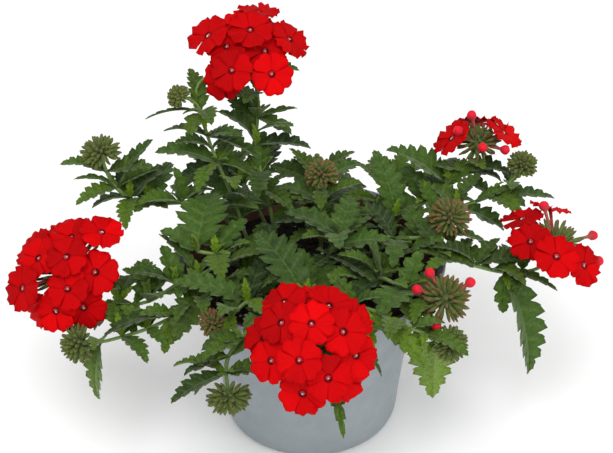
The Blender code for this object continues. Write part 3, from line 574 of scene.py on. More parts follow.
@dataclass(frozen=True)
class VelvetPetal:
    """A living petal: velvety and saturated, darker in its throat and along its fine veins."""

    name: str = "velvet_petal"
    bright: str = "#d20004"
    deep: str = "#920004"
    throat: str = "#5a0006"
    velvet: str = "#ff2a20"
    # How many streaks run along a petal, across it, and by its shade
    streaks: Triple = (2.0, 16.0, 7.0)
    streak_depth: float = 0.2 * MM
    throat_end: float = 0.15

    def make(self) -> bpy.types.Material:
        """Build the material: the mesh's place mark gives the way out along the petal.

        Returns:
            The new material.
        """
        finish, tree = new_finish(self.name, {
            "IOR": 1.4, "Specular IOR Level": 0.08, "Roughness": 0.7, "Sheen Weight": 0.03,
            "Sheen Roughness": 0.35, "Sheen Tint": self.velvet})
        mark = add(tree, "ShaderNodeAttribute", {"attribute_name": "tone"}, "Color")
        where = add(tree, "ShaderNodeAttribute", {"attribute_name": "place"}, "Vector")
        way = add(tree, "ShaderNodeSeparateXYZ", {0: where})
        shade = add(tree, "ShaderNodeSeparateColor", {0: mark})
        stretch = add(tree, "ShaderNodeVectorMath", {"operation": "MULTIPLY", 0: where,
                                                     1: self.streaks})
        streak = add(tree, "ShaderNodeTexNoise", {"Scale": 1.0, "Detail": 3.0, "Vector": stretch})
        both = add(tree, "ShaderNodeMath", {"operation": "ADD", 0: streak, 1: shade})
        share = add(tree, "ShaderNodeMapRange", {FROM_LOW: 0.45, FROM_HIGH: 1.6, VALUE: both})
        red = add(tree, "ShaderNodeMix", {"data_type": "RGBA", MIX_FIRST: self.bright,
                                          MIX_SECOND: self.deep, MIX_SHARE: share}, MIX_OUT)
        near = add(tree, "ShaderNodeMapRange", {FROM_LOW: 0.05, FROM_HIGH: self.throat_end,
                                                TO_LOW: 1.0, TO_HIGH: 0.0, VALUE: way})
        whole = add(tree, "ShaderNodeMix", {"data_type": "RGBA", MIX_FIRST: red,
                                            MIX_SECOND: self.throat, MIX_SHARE: near}, MIX_OUT)
        bump = add(tree, "ShaderNodeBump", {"Strength": 0.35, "Distance": self.streak_depth,
                                            "Height": streak})
        feed(tree, {"Base Color": whole, "Normal": bump})
        return finish


@dataclass(frozen=True)
class HairyTube:
    """A soft green or pink tissue under short hairs, shaded from foot to tip: stems, calyces, tubes."""

    name: str
    foot: str
    middle: str
    tip: str
    sheen: float = 0.2
    hair_mm: float = 0.5
    hair_depth: float = 0.2 * MM

    def make(self) -> bpy.types.Material:
        """Build the material: the place mark runs from foot to tip, the tone mark reddens the tip.

        Returns:
            The new material.
        """
        finish, tree = new_finish(self.name, {
            "IOR": 1.4, "Specular IOR Level": 0.3, "Roughness": 0.6, "Sheen Weight": self.sheen,
            "Sheen Roughness": 0.5})
        mark = add(tree, "ShaderNodeAttribute", {"attribute_name": "tone"}, "Color")
        where = add(tree, "ShaderNodeAttribute", {"attribute_name": "place"}, "Vector")
        way = add(tree, "ShaderNodeSeparateXYZ", {0: where})
        redness = add(tree, "ShaderNodeSeparateColor", {0: mark})
        spot = add(tree, "ShaderNodeTexCoord", out="Object")
        hair = add(tree, "ShaderNodeTexNoise", {"Scale": 1 / (self.hair_mm * MM), "Detail": 3.0,
                                                "Vector": spot})
        low = add(tree, "ShaderNodeMapRange", {FROM_LOW: 0.1, FROM_HIGH: 0.6, VALUE: way})
        rise = add(tree, "ShaderNodeMix", {"data_type": "RGBA", MIX_FIRST: self.foot,
                                           MIX_SECOND: self.middle, MIX_SHARE: low}, MIX_OUT)
        high = add(tree, "ShaderNodeMapRange", {FROM_LOW: 0.55, FROM_HIGH: 0.95, VALUE: way})
        red = add(tree, "ShaderNodeMath", {"operation": "MULTIPLY", 0: high, 1: redness})
        whole = add(tree, "ShaderNodeMix", {"data_type": "RGBA", MIX_FIRST: rise,
                                            MIX_SECOND: self.tip, MIX_SHARE: red}, MIX_OUT)
        light = add(tree, "ShaderNodeMapRange", {FROM_LOW: 0.3, FROM_HIGH: 0.7, TO_LOW: 0.72,
                                                 TO_HIGH: 1.28, VALUE: hair})
        toned = add(tree, "ShaderNodeHueSaturation", {"Value": light, "Color": whole})
        bump = add(tree, "ShaderNodeBump", {"Strength": 0.4, "Distance": self.hair_depth,
                                            "Height": hair})
        feed(tree, {"Base Color": toned, "Normal": bump})
        return finish


@dataclass(frozen=True)
class PaintedFloor:
    """A pale painted studio floor, matt, with a very faint unevenness."""

    name: str = "pale_studio_floor"
    colour: str = "#fefefe"
    worn: str = "#fbfbfb"
    patches_a_metre: float = 3.0

    def make(self) -> bpy.types.Material:
        """Build the material.

        Returns:
            The new material.
        """
        finish, tree = new_finish(self.name, {"Roughness": 0.9, "Specular IOR Level": 0.1})
        place = add(tree, "ShaderNodeTexCoord", out="Object")
        cloud = add(tree, "ShaderNodeTexNoise", {"Scale": self.patches_a_metre, "Vector": place})
        tint = add(tree, "ShaderNodeMix", {"data_type": "RGBA", MIX_FIRST: self.colour,
                                           MIX_SECOND: self.worn, MIX_SHARE: cloud}, MIX_OUT)
        feed(tree, {"Base Color": tint})
        return finish


@dataclass
class Patchwork:
    """Points, faces and marks gathered for one piece."""

    points: list[Vector] = field(default_factory=list)
    faces: list[Face] = field(default_factory=list)
    finishes: list[int] = field(default_factory=list)
    tones: list[Quad] = field(default_factory=list)
    places: list[Triple] = field(default_factory=list)

    def add(self, points: list[Vector], faces: list[Face], finish: int,
            tones: list[Quad], places: list[Triple]) -> None:
        """Add one closed shape.

        Args:
            points: its points, in metres.
            faces: its faces, as numbers of those points.
            finish: the number of its material on the piece.
            tones: for each point its age or redness, its luck, its vein and its side.
            places: for each point how far along and across the shape it lies.
        """
        start = len(self.points)
        self.points += points
        self.faces += [tuple(start + k for k in face) for face in faces]
        self.finishes += [finish] * len(faces)
        self.tones += tones
        self.places += places

    def add_even(self, shape: Shape, finish: int, tone: Quad = (0.0, 0.0, 0.0, 0.0)) -> None:
        """Add one closed shape with the same tone at all its points.

        Args:
            shape: its points, its faces and each point's place on it.
            finish: the number of its material on the piece.
            tone: its age or redness, its luck, its vein and its side.
        """
        points, faces, places = shape
        self.add(points, faces, finish, [tone] * len(points), places)

    def piece(self, name: str, finishes: list[bpy.types.Material]) -> bpy.types.Object:
        """Make the piece's object.

        Args:
            name: the object's name.
            finishes: its materials, in the order of the faces' numbers.

        Returns:
            The new object, smooth, with its marks stored as attributes.
        """
        mesh = bpy.data.meshes.new(name)
        mesh.from_pydata([tuple(p) for p in self.points], [], self.faces)
        mesh.polygons.foreach_set("material_index", self.finishes)
        tone = mesh.attributes.new("tone", "FLOAT_COLOR", "POINT")
        tone.data.foreach_set("color", [value for mark in self.tones for value in mark])
        place = mesh.attributes.new("place", "FLOAT_VECTOR", "POINT")
        place.data.foreach_set("vector", [value for mark in self.places for value in mark])
        for finish in finishes:
            mesh.materials.append(finish)
        mesh.shade_smooth()
        mesh.validate()
        item = bpy.data.objects.new(name, mesh)
        bpy.context.scene.collection.objects.link(item)
        return item


def dress(item: bpy.types.Object, node: str) -> None:
    """Let a piece stand for its solid.

    Args:
        item: the fine piece.
        node: the solid's node.
    """
    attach(item, "root")
    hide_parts(node)
    LOG.info("%s stands for %s with %d faces", item.name, node, len(item.data.polygons))


def rings_to_faces(rows: int, sides: int) -> list[Face]:
    """Join rings of points, with both ends closed.

    Args:
        rows: the number of rings.
        sides: the number of points in each.

    Returns:
        The faces, pointing out.
    """
    faces = [(row * sides + i, row * sides + (i + 1) % sides,
              (row + 1) * sides + (i + 1) % sides, (row + 1) * sides + i)
             for row in range(rows - 1) for i in range(sides)]
    last = (rows - 1) * sides
    return faces + [tuple(range(sides))[::-1], tuple(range(last, last + sides))]


def tube(line: list[Vector], radii: list[float], sides: int, ribs: float = 0.0) -> Shape:
    """Sweep a closed tube along a line of points.

    Args:
        line: the middle of each ring.
        radii: the radius of each ring.
        sides: the number of points in a ring.
        ribs: how much every second point of a ring is pulled in, as a share of the radius.

    Returns:
        Its points, its faces and each point's place along and around it.
    """
    points = []
    places = []
    side = None
    for i, middle in enumerate(line):
        ahead = (line[min(i + 1, len(line) - 1)] - line[max(i - 1, 0)]).normalized()
        side = side or ahead.orthogonal()
        side = (side - side.dot(ahead) * ahead).normalized()
        other = ahead.cross(side)
        for k in range(sides):
            angle = 2 * math.pi * k / sides
            radius = radii[i] * (1 - ribs * (k % 2))
            points.append(middle + radius * (side * math.cos(angle) + other * math.sin(angle)))
            places.append((i / (len(line) - 1), k / sides, 0.0))
    return points, rings_to_faces(len(line), sides), places


def smooth_route(route: list[Vector], step: float) -> list[Vector]:
    """Find points on a smooth curve through a route.

    Args:
        route: the points that the curve passes.
        step: about how far apart the curve's points lie.

    Returns:
        The curve's points.
    """
    ends = [route[0] * 2 - route[1]] + list(route) + [route[-1] * 2 - route[-2]]
    points = []
    for before, start, end, after in zip(ends, ends[1:], ends[2:], ends[3:]):
        count = max(1, round((end - start).length / step))
        for i in range(count):
            t = i / count
            points.append(0.5 * (2 * start + (end - before) * t
                                 + (2 * before - 5 * start + 4 * end - after) * t * t
                                 + (3 * start - before - 3 * end + after) * t * t * t))
    return points + [route[-1]]


def turned(outline: list[Pair], sides: int) -> Shape:
    """Turn an outline about the upright axis, with both ends closed by a flat face.

    Args:
        outline: pairs of radius and height.
        sides: the number of points round it.

    Returns:
        Its points, its faces and a blank place for each point.
    """
    points = [Vector((radius * math.cos(2 * math.pi * i / sides),
                      radius * math.sin(2 * math.pi * i / sides), height))
              for radius, height in outline for i in range(sides)]
    return points, rings_to_faces(len(outline), sides), [(0.0, 0.0, 0.0)] * len(points)


class Fit:
    """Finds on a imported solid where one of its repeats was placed."""

    def __init__(self, node: str) -> None:
        """Index the corners of a solid.

        Args:
            node: the solid's node.
        """
        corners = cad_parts[node].data.vertices
        self.tree = KDTree(len(corners))
        for i, corner in enumerate(corners):
            self.tree.insert(corner.co, i)
        self.tree.balance()

    def off(self, point: Vector) -> float:
        """How far the nearest corner is from a point."""
        return self.tree.find(point)[2]


class Room:
    """What each new repeat has to lie clear of."""

    def __init__(self) -> None:
        """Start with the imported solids."""
        self.solids: list[tuple[str, BVHTree, Vector, Vector]] = []
        for name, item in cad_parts.items():
            points = [corner.co.copy() for corner in item.data.vertices]
            self.add(name, points, [tuple(face.vertices) for face in item.data.polygons])

    def add(self, owner: str, points: list[Vector], faces: list[Face]) -> None:
        """Remember a shape.

        Args:
            owner: the node that it belongs to.
            points: its points.
            faces: its faces.
        """
        low = Vector([min(p[k] for p in points) for k in range(3)])
        high = Vector([max(p[k] for p in points) for k in range(3)])
        self.solids.append((owner, BVHTree.FromPolygons(points, faces), low, high))

    def free(self, owner: str, points: list[Vector], faces: list[Face]) -> bool:
        """Test a shape.

        Args:
            owner: the node that it belongs to, whose own solid it may cross.
            points: its points.
            faces: its faces.

        Returns:
            Whether it lies clear of the rest.
        """
        low = [min(p[k] for p in points) for k in range(3)]
        high = [max(p[k] for p in points) for k in range(3)]
        tree = None
        for other, solid, bottom, top in self.solids:
            if other == owner or any(low[k] > top[k] or high[k] < bottom[k] for k in range(3)):
                continue
            tree = tree or BVHTree.FromPolygons(points, faces)
            if tree.overlap(solid):
                return False
        return True


@dataclass
class Blade:
    """One leaf: a stalked, deeply toothed blade, arched, folded and puckered between its veins."""

    root: Vector
    compass: float
    rise: float
    length: float
    width: float
    luck: random.Random
    age: float = 0.0
    tooth_mm: float = 6.5
    cut: float = 0.46
    half_thickness: float = 0.16 * MM
    stalk: float = 0.75 * MM
    stalk_swell_mm: float = 0.55
    pucker: float = 0.55 * MM
    groove: float = 0.3 * MM
    full_relief_width: float = 14 * MM

    # One tooth from the cleft before it: share of its length, share of the cut, push towards the tip
    TOOTH = ((0.0, 1.0, -0.012), (0.14, 0.52, -0.004), (0.3, 0.2, 0.006), (0.4, 0.27, 0.0),
             (0.62, 0.0, 0.03), (0.8, 0.36, 0.008))
    VEIN_ROW = 4
    FEWEST_TEETH, MOST_TEETH = 3, 6
    # The stalk's second row, where the teeth start, and how much of the length they take
    STALK_ROW, TEETH_START, TEETH_RUN = 0.06, 0.11, 0.86
    # Where the toothed rows end at the latest, short of the tip
    LAST_ROW = 0.995
    # Places across a half row, from the midrib to the edge
    ACROSS = (0.0, 0.07, 0.36, 0.7, 1.0)
    # The bends as the solid draws them: radians of roll, and shares of the length or the width
    ROLL, ARCH, FOLD, WAVE = 0.5, (0.06, 0.10), (0.15, 0.35), 0.10
    # The edge's curve: how far back it is widest and how blunt it is
    WIDEST, BLUNT = 0.85, 0.8
    # Where the stalk begins to widen, over how much of the length, and where its swelling ends
    WIDENS_FROM, WIDENS_OVER, SWELL_END = 0.03, 0.16, 0.14
    # How far the rows lean to the tip, and how fast the wave of the edge runs
    VEIN_LEAN, WAVE_PACE = 0.09, 9.0
    # How fast the pucker rises from a tooth, and how bright a side vein is and how much it fades
    PUCKER_EASE, SIDE_VEIN, VEIN_FADE = 0.3, 0.8, 0.6
    # Shares of the length at which the rough outline is tested
    TESTED = (0.12, 0.35, 0.65, 1.0)

    def __post_init__(self) -> None:
        """Find the blade's own directions and its bends, drawn as the solid draws them."""
        self.ahead = Vector((math.cos(self.compass) * math.cos(self.rise),
                             math.sin(self.compass) * math.cos(self.rise), math.sin(self.rise)))
        level = Vector((-math.sin(self.compass), math.cos(self.compass), 0.0))
        top = self.ahead.cross(level).normalized()
        if top.z < 0:
            top.negate()
        roll = Matrix.Rotation(self.ROLL * (self.luck.random() - 0.5), 3, self.ahead)
        self.level = roll @ level
        self.top = roll @ top
        self.arch = self.length * drawn(self.luck, self.ARCH)
        self.fold = drawn(self.luck, self.FOLD)
        self.wave = self.WAVE * self.width * (self.luck.random() - 0.5)
        self.turn = 2 * math.pi * self.luck.random()

    def half_width(self, share: float) -> float:
        """Find how wide the blade is without its teeth.

        Args:
            share: how far along the midrib.

        Returns:
            Half its width there.
        """
        share = min(max(share, 0.0), 1.0)
        blade = 0.5 * self.width * math.sin(math.pi * share ** self.WIDEST) ** self.BLUNT
        grown = min(max((share - self.WIDENS_FROM) / self.WIDENS_OVER, 0.0), 1.0)
        grown = grown * grown * (3 - 2 * grown)
        return max(self.stalk * (1 - share), 0.0) * (1 - grown) + blade * grown

    def rows(self) -> list[Quad]:
        """Find the rows of points from the stalk to the tip.

        Returns:
            Each row's share of the length, its cut, its push and whether a vein runs there.
        """
        teeth = round(self.length / (self.tooth_mm * MM))
        teeth = max(self.FEWEST_TEETH, min(self.MOST_TEETH, teeth))
        rows = [(0.0, 0.0, 0.0, 0.0), (self.STALK_ROW, 0.0, 0.0, 0.0)]
        for tooth in range(teeth):
            for number, (phase, depth, push) in enumerate(self.TOOTH):
                share = self.TEETH_START + self.TEETH_RUN * (tooth + phase) / teeth
                first = tooth == 0 and number == 0
                rows.append((share, 0.0 if first else depth * self.cut, push,
                             1.0 if number == self.VEIN_ROW else 0.0))
        return rows + [(1.0, 0.0, 0.0, 0.0)]

    def spot(self, share: float, half: float, across: float, side: int, lift: float) -> Vector:
        """Place one point of the blade's middle sheet.

        Args:
            share: how far along the midrib its row starts.
            half: the row's half width.
            across: how far out along the row, from 0 to 1.
            side: 1 or -1.
            lift: extra height.

        Returns:
            The point.
        """
        bend = 4 * self.arch * share * (1 - share)
        out = half * across
        pace = math.sin(self.WAVE_PACE * share + self.turn + side)
        ripple = self.wave * across * across * pace
        return (self.root + self.ahead * self.length * share
                + self.top * (bend + self.fold * out + ripple + lift) + self.level * side * out)

    def build(self, work: Patchwork, finish: int) -> None:
        """Add the blade to a piece.

        Args:
            work: the piece's gathered points and faces.
            finish: the number of the leaf's material on it.
        """
        sheet = []
        tones = []
        places = []
        rows = self.rows()
        last = len(rows) - 1
        middle = len(self.ACROSS) - 1
        wide = 2 * middle + 1
        size = min(1.0, self.width / self.full_relief_width)
        luck = self.luck.random()
        for row, (share, depth, push, vein) in enumerate(rows):
            forward = self.VEIN_LEAN * math.sin(math.pi * share)
            half = self.half_width(share + forward) * (1 - depth)
            for column in range(-middle, middle + 1):
                across = self.ACROSS[abs(column)]
                side = 1 if column > 0 else -1
                raised = self.pucker * size * math.sin(math.pi * across) * depth ** self.PUCKER_EASE
                lift = (0.0 if vein else raised) + (0.0 if column else -self.groove * size)
                at = share + (forward + push) * across if 0 < row < last else share
                sheet.append(self.spot(min(at, self.LAST_ROW if row < last else 1.0), half, across,
                                       side, lift))
                line = self.SIDE_VEIN * vein * (1 - self.VEIN_FADE * across) if column else 1.0
                tones.append((self.age, luck, line))
                places.append((share, across, 0.0))
        count = len(sheet)
        points = []
        marks = []
        for face, way in ((0.0, 1.0), (1.0, -1.0)):
            for point, tone, (share, across, _) in zip(sheet, tones, places):
                swell = max(0.0, 1 - share / self.SWELL_END) * self.stalk_swell_mm * MM * (1 - across)
                points.append(point + self.top * way * (self.half_thickness + swell))
                marks.append((*tone, face))
        faces = []
        for row in range(last):
            for column in range(wide - 1):
                a = row * wide + column
                cell = (a, a + 1, a + 1 + wide, a + wide)
                faces += [cell[::-1], tuple(count + k for k in cell)]
            for a, flip in ((row * wide, False), (row * wide + wide - 1, True)):
                rim = (a, a + wide, count + a + wide, count + a)
                faces.append(rim[::-1] if flip else rim)
        work.add(points, faces, finish, marks, places * 2)

    def outline(self) -> tuple[list[Vector], list[Face]]:
        """Find a few points of the blade, for the test of what it would cross.

        Returns:
            Those points and the faces between them.
        """
        points = [self.spot(share, self.half_width(share), 1.0, side, 0.0)
                  for share in self.TESTED for side in (-1, 1)]
        faces = [(2 * i, 2 * i + 1, 2 * i + 3, 2 * i + 2) for i in range(len(self.TESTED) - 1)]
        return points, faces


@dataclass
class Corolla:
    """One floret: five notched, ruffled petals on a slim tube, with a pale hairy eye."""

    throat: Vector
    facing: Vector
    root: Vector
    spin: float
    luck: random.Random
    half_thickness: float = 0.13 * MM
    across: int = 8
    out: int = 7
    tube_sides: int = 8

    # The tube: share of the way out to the throat and its radius in millimetres
    PIPE = ((0.0, 0.6), (0.35, 0.65), (0.7, 0.75), (0.92, 0.95), (1.0, 1.5))
    # The hairy eye: millimetres out from the throat and its radius in millimetres
    TUFT = ((-0.5, 0.3), (0.15, 0.5), (0.45, 0.4), (0.5, 0.15))
    TUFT_RIBS = 0.35
    # How red the tube is
    PIPE_REDNESS = 0.3
    # The least and the spread of a floret's size, of how far a petal's end hangs back, as shares of
    # the floret's radius, and of the height of a petal's ruffle, in millimetres
    SIZE, CURL, RUFFLE = (0.94, 0.1), (-0.04, 0.16), (0.6, 0.6)
    # The notch in a petal's end: how deep and how wide it is, and how round the corners are
    NOTCH, NOTCH_WIDTH, CORNER = 0.10, 0.2, 0.2
    # Where a petal starts, and its half spread there and how much it widens, in degrees
    NARROW, SPREAD, WIDENING = 0.09, 37.0, 2.0
    # The crease along a petal's middle: its depth in millimetres and its width
    CREASE, CREASE_WIDTH = 0.45, 0.25
    # Waves across a petal's end, and how far it is twisted, in millimetres
    WAVES, TWIST = 3.2, 0.42

    def build(self, work: Patchwork, petal: int, pipe: int, eye: int) -> None:
        """Add the floret to a piece.

        Args:
            work: the piece's gathered points and faces.
            petal: the number of the petals' material.
            pipe: the number of the tube's material.
            eye: the number of the eye's material.
        """
        first = Matrix.Rotation(self.spin, 3, self.facing) @ self.facing.orthogonal().normalized()
        second = self.facing.cross(first)
        radius = FLORET_RADIUS * drawn(self.luck, self.SIZE)
        curls = [drawn(self.luck, self.CURL) * radius for _ in range(PETALS)]
        shade = self.luck.random()
        for number, curl in enumerate(curls):
            self.petal(work, petal, (first, second), 2 * math.pi * number / PETALS, radius, curl,
                       shade)
        line = [self.root.lerp(self.throat, share) for share, _ in self.PIPE]
        shape = tube(line, [size * MM for _, size in self.PIPE], self.tube_sides)
        work.add_even(shape, pipe, (self.PIPE_REDNESS, shade, 0.0, 0.0))
        tuft = [self.throat + self.facing * height * MM for height, _ in self.TUFT]
        shape = tube(tuft, [size * MM for _, size in self.TUFT], self.tube_sides, self.TUFT_RIBS)
        work.add_even(shape, eye, (0.0, shade, 0.0, 0.0))

    def petal(self, work: Patchwork, finish: int, ways: tuple[Vector, Vector], turn: float,
              radius: float, curl: float, shade: float) -> None:
        """Add one petal.

        Args:
            work: the piece's gathered points and faces.
            finish: the number of the petals' material.
            ways: two directions across the floret.
            turn: the petal's direction round the floret.
            radius: the floret's radius.
            curl: how far the petal's end hangs back.
            shade: how deep its red is, from 0 to 1.
        """
        first, second = ways
        ruffle = 2 * math.pi * self.luck.random()
        depth = drawn(self.luck, self.RUFFLE)
        shade = 0.5 * (shade + self.luck.random())
        sheet = []
        places = []
        for j in range(self.out + 1):
            rho = j / self.out
            for i in range(self.across + 1):
                a = 2 * i / self.across - 1
                notch = self.NOTCH * math.exp(-(a / self.NOTCH_WIDTH) ** 2)
                edge = 1.0 - notch - self.CORNER * abs(a) ** 4
                reach = radius * (self.NARROW + (edge - self.NARROW) * rho)
                angle = turn + a * math.radians(self.SPREAD + self.WIDENING * rho)
                crease = -self.CREASE * math.exp(-(a / self.CREASE_WIDTH) ** 2) * rho
                ripple = depth * math.sin(self.WAVES * math.pi * a + ruffle) * rho ** 3
                cup = FLORET_CUP * (1 - (1 - rho) ** 2) - curl * rho * rho
                height = cup + MM * (self.TWIST * a * rho + crease + ripple)
                sheet.append(self.throat + reach * (first * math.cos(angle)
                                                    + second * math.sin(angle))
                             + self.facing * height)
                places.append((rho, abs(a), shade))
        wide = self.across + 1
        count = len(sheet)
        points = [p + self.facing * self.half_thickness for p in sheet]
        points += [p - self.facing * self.half_thickness for p in sheet]
        faces = []
        for j in range(self.out):
            for i in range(self.across):
                a = j * wide + i
                cell = (a, a + wide, a + wide + 1, a + 1)
                faces += [cell, tuple(count + k for k in cell[::-1])]
        border = (list(range(wide)) + [j * wide + wide - 1 for j in range(1, self.out + 1)]
                  + [self.out * wide + k for k in range(wide - 2, -1, -1)]
                  + [j * wide for j in range(self.out - 1, 0, -1)])
        for a, b in zip(border, border[1:] + border[:1]):
            faces.append((a, b, count + b, count + a))
        tones = [(shade, shade, 0.0, 0.0)] * count + [(shade, shade, 0.0, 1.0)] * count
        work.add(points, faces, finish, tones, places * 2)


@dataclass
class FlowerHead:
    """A flower head: calyces packed round its middle, with its open florets and its red buds."""

    name: str
    head: Head
    calyces: int = 84
    calyx_sides: int = 6
    core_sides: int = 10
    bud_sides: int = 10
    widest_lean: float = math.radians(118)
    bud_fit: float = 3 * MM

    # The head's materials, in the order of the faces' numbers
    ORDER = ("calyx", "petal", "corolla_tube", "eye", "bud")
    CALYX, PETAL, PIPE, EYE, BUD = range(5)
    # A calyx from its foot to its blunt tip: share of its length, share of its widest radius
    SPINDLE = ((0.0, 0.35), (0.25, 0.75), (0.55, 1.0), (0.78, 0.88), (0.93, 0.6), (1.0, 0.22))
    # The closed core under the calyces: share of its height, share of its radius, and these two as
    # shares of the head's
    CORE = ((-1.0, 0.15), (-0.6, 0.75), (0.0, 1.0), (0.6, 0.75), (1.0, 0.15))
    CORE_HEIGHT, CORE_WIDTH = 0.42, 0.40
    # A closed bud from the start of its swelling: millimetres from its tip and its radius
    SWELLING = ((6.2, 0.85), (5.4, 1.1), (4.6, 1.9), (3.6, 2.5), (2.6, 2.55), (1.7, 2.2), (1.0, 1.5),
                (0.6, 0.5))
    # The bud's tube before it: share of the whole length from the tip, radius in millimetres
    BUD_TUBE = ((1.0, 0.6), (0.7, 0.7))
    # Shares of the head's radius and height at which calyces end and start, and how stout they
    # are, on a head with open florets and on a closed one
    OPEN = ((0.7, 0.16), (0.7, 0.18), 0.3, 0.3, 0.95)
    CLOSED = ((0.9, 0.14), (0.86, 0.18), 0.3, 0.25, 1.12)
    # A calyx's radius in millimetres, and the most that it may be of the length
    STOUT, STOUTEST = (0.75, 0.25), 0.28
    # How unevenly they stand, in radians: round the head, and at their tips round it and along it,
    # with the share of the last that brings a tip nearer to the axis
    UNEVEN, TIP_ROUND, TIP_ALONG, TIP_IN = 0.2, 0.25, 0.2, 0.6
    # How deep the ribs of a calyx and of a bud are, as shares of the radius
    CALYX_RIBS, BUD_RIBS = 0.18, 0.1
    # How red a calyx is on a head with no tint of its own, and how much redder some are
    GREEN, BLUSH = 0.05, 0.3
    # How many seeds are kept for each head's florets
    SEEDS = 100

    def build(self, finishes: dict[str, bpy.types.Material]) -> bpy.types.Object:
        """Build the head.

        Args:
            finishes: the plant's materials by name.

        Returns:
            The head's piece.
        """
        work = Patchwork()
        self.add_calyces(work, random.Random(self.name))
        fit = Fit(self.name)
        number = list(HEADS).index(self.name)
        for i, (compass, lean) in enumerate(self.head.florets):
            self.add_floret(work, fit, compass, lean, self.SEEDS * number + i)
        for compass, lean in self.head.buds:
            tip, _ = self.head.toward(math.radians(compass), math.radians(lean),
                                      self.head.reach + BUD_REACH, self.head.rise + BUD_RISE)
            if fit.off(tip) < self.bud_fit:
                self.add_bud(work, tip)
        return work.piece(self.name + "_fine", [finishes[key] for key in self.ORDER])

    def add_calyces(self, work: Patchwork, luck: random.Random) -> None:
        """Pack the calyces round the middle, over a closed core.

        Args:
            work: the piece's gathered points and faces.
            luck: the draw that varies them.
        """
        head = self.head
        tint = HEAD_TINTS.get(self.name, self.GREEN)
        out, up, foot_out, foot_up, girth = self.OPEN if head.florets else self.CLOSED
        for i in range(self.calyces):
            lean = math.acos(1 - (1 - math.cos(self.widest_lean)) * ((i + 0.5) / self.calyces))
            compass = i * GOLDEN_ANGLE + self.UNEVEN * luck.random()
            far = drawn(luck, out) * head.reach, drawn(luck, up) * head.rise
            foot, _ = head.toward(compass, lean, foot_out * head.reach, foot_up * head.rise)
            tip, _ = head.toward(compass + self.TIP_ROUND * (luck.random() - 0.5),
                                 lean + self.TIP_ALONG * (luck.random() - self.TIP_IN), *far)
            line = [foot.lerp(tip, share) for share, _ in self.SPINDLE]
            wide = min(drawn(luck, self.STOUT) * MM * girth, self.STOUTEST * (tip - foot).length)
            shape = tube(line, [wide * size for _, size in self.SPINDLE], self.calyx_sides,
                         self.CALYX_RIBS)
            tone = (min(1.0, tint + self.BLUSH * luck.random()), luck.random(), 0.0, 0.0)
            work.add_even(shape, self.CALYX, tone)
        core = [head.middle + head.axis * at * self.CORE_HEIGHT * head.rise for at, _ in self.CORE]
        radii = [self.CORE_WIDTH * head.reach * size for _, size in self.CORE]
        work.add_even(tube(core, radii, self.core_sides), self.CALYX, (0.0, 0.5, 0.0, 0.0))

    def add_floret(self, work: Patchwork, fit: Fit, compass: float, lean: float, seed: int) -> None:
        """Find where the solid's floret lies and build the fine one there.

        Args:
            work: the piece's gathered points and faces.
            fit: the solid's corners.
            compass: the floret's direction round the head, in degrees.
            lean: its angle from the axis, in degrees.
            seed: the seed of its own draw.
        """
        spin = random.Random(seed).random() * 2 * math.pi
        sunk = PETAL_HALF_THICKNESS - THROAT_DEPTH
        for turn, tip in FLORET_TURNS:
            for stand in FLORET_STANDS:
                down = math.radians(max(0, lean + tip))
                throat, slope = self.head.toward(math.radians(compass + turn), down,
                                                 self.head.reach, self.head.rise)
                throat += slope * stand * MM
                facing = (slope + FACE_LIFT * self.head.axis).normalized()
                if fit.off(throat + facing * sunk) < FIT:
                    inward = (throat - self.head.middle).normalized()
                    root = self.head.middle + inward * CORE_SHARE * CORE_RISE
                    floret = Corolla(throat, facing, root, spin, random.Random(seed))
                    floret.build(work, self.PETAL, self.PIPE, self.EYE)
                    return
        LOG.warning("a floret of %s wasn't found on its solid", self.name)

    def add_bud(self, work: Patchwork, tip: Vector) -> None:
        """Add one closed red bud on its pink tube.

        Args:
            work: the piece's gathered points and faces.
            tip: the bud's end.
        """
        back = self.head.middle - tip
        length = back.length
        back.normalize()
        stops = [(share * length, size) for share, size in self.BUD_TUBE]
        stops += [(at * MM, size) for at, size in self.SWELLING]
        line = [tip + back * at for at, _ in stops]
        shape = tube(line, [size * MM for _, size in stops], self.bud_sides, self.BUD_RIBS)
        work.add_even(shape, self.BUD, (1.0, 0.5, 0.0, 0.0))


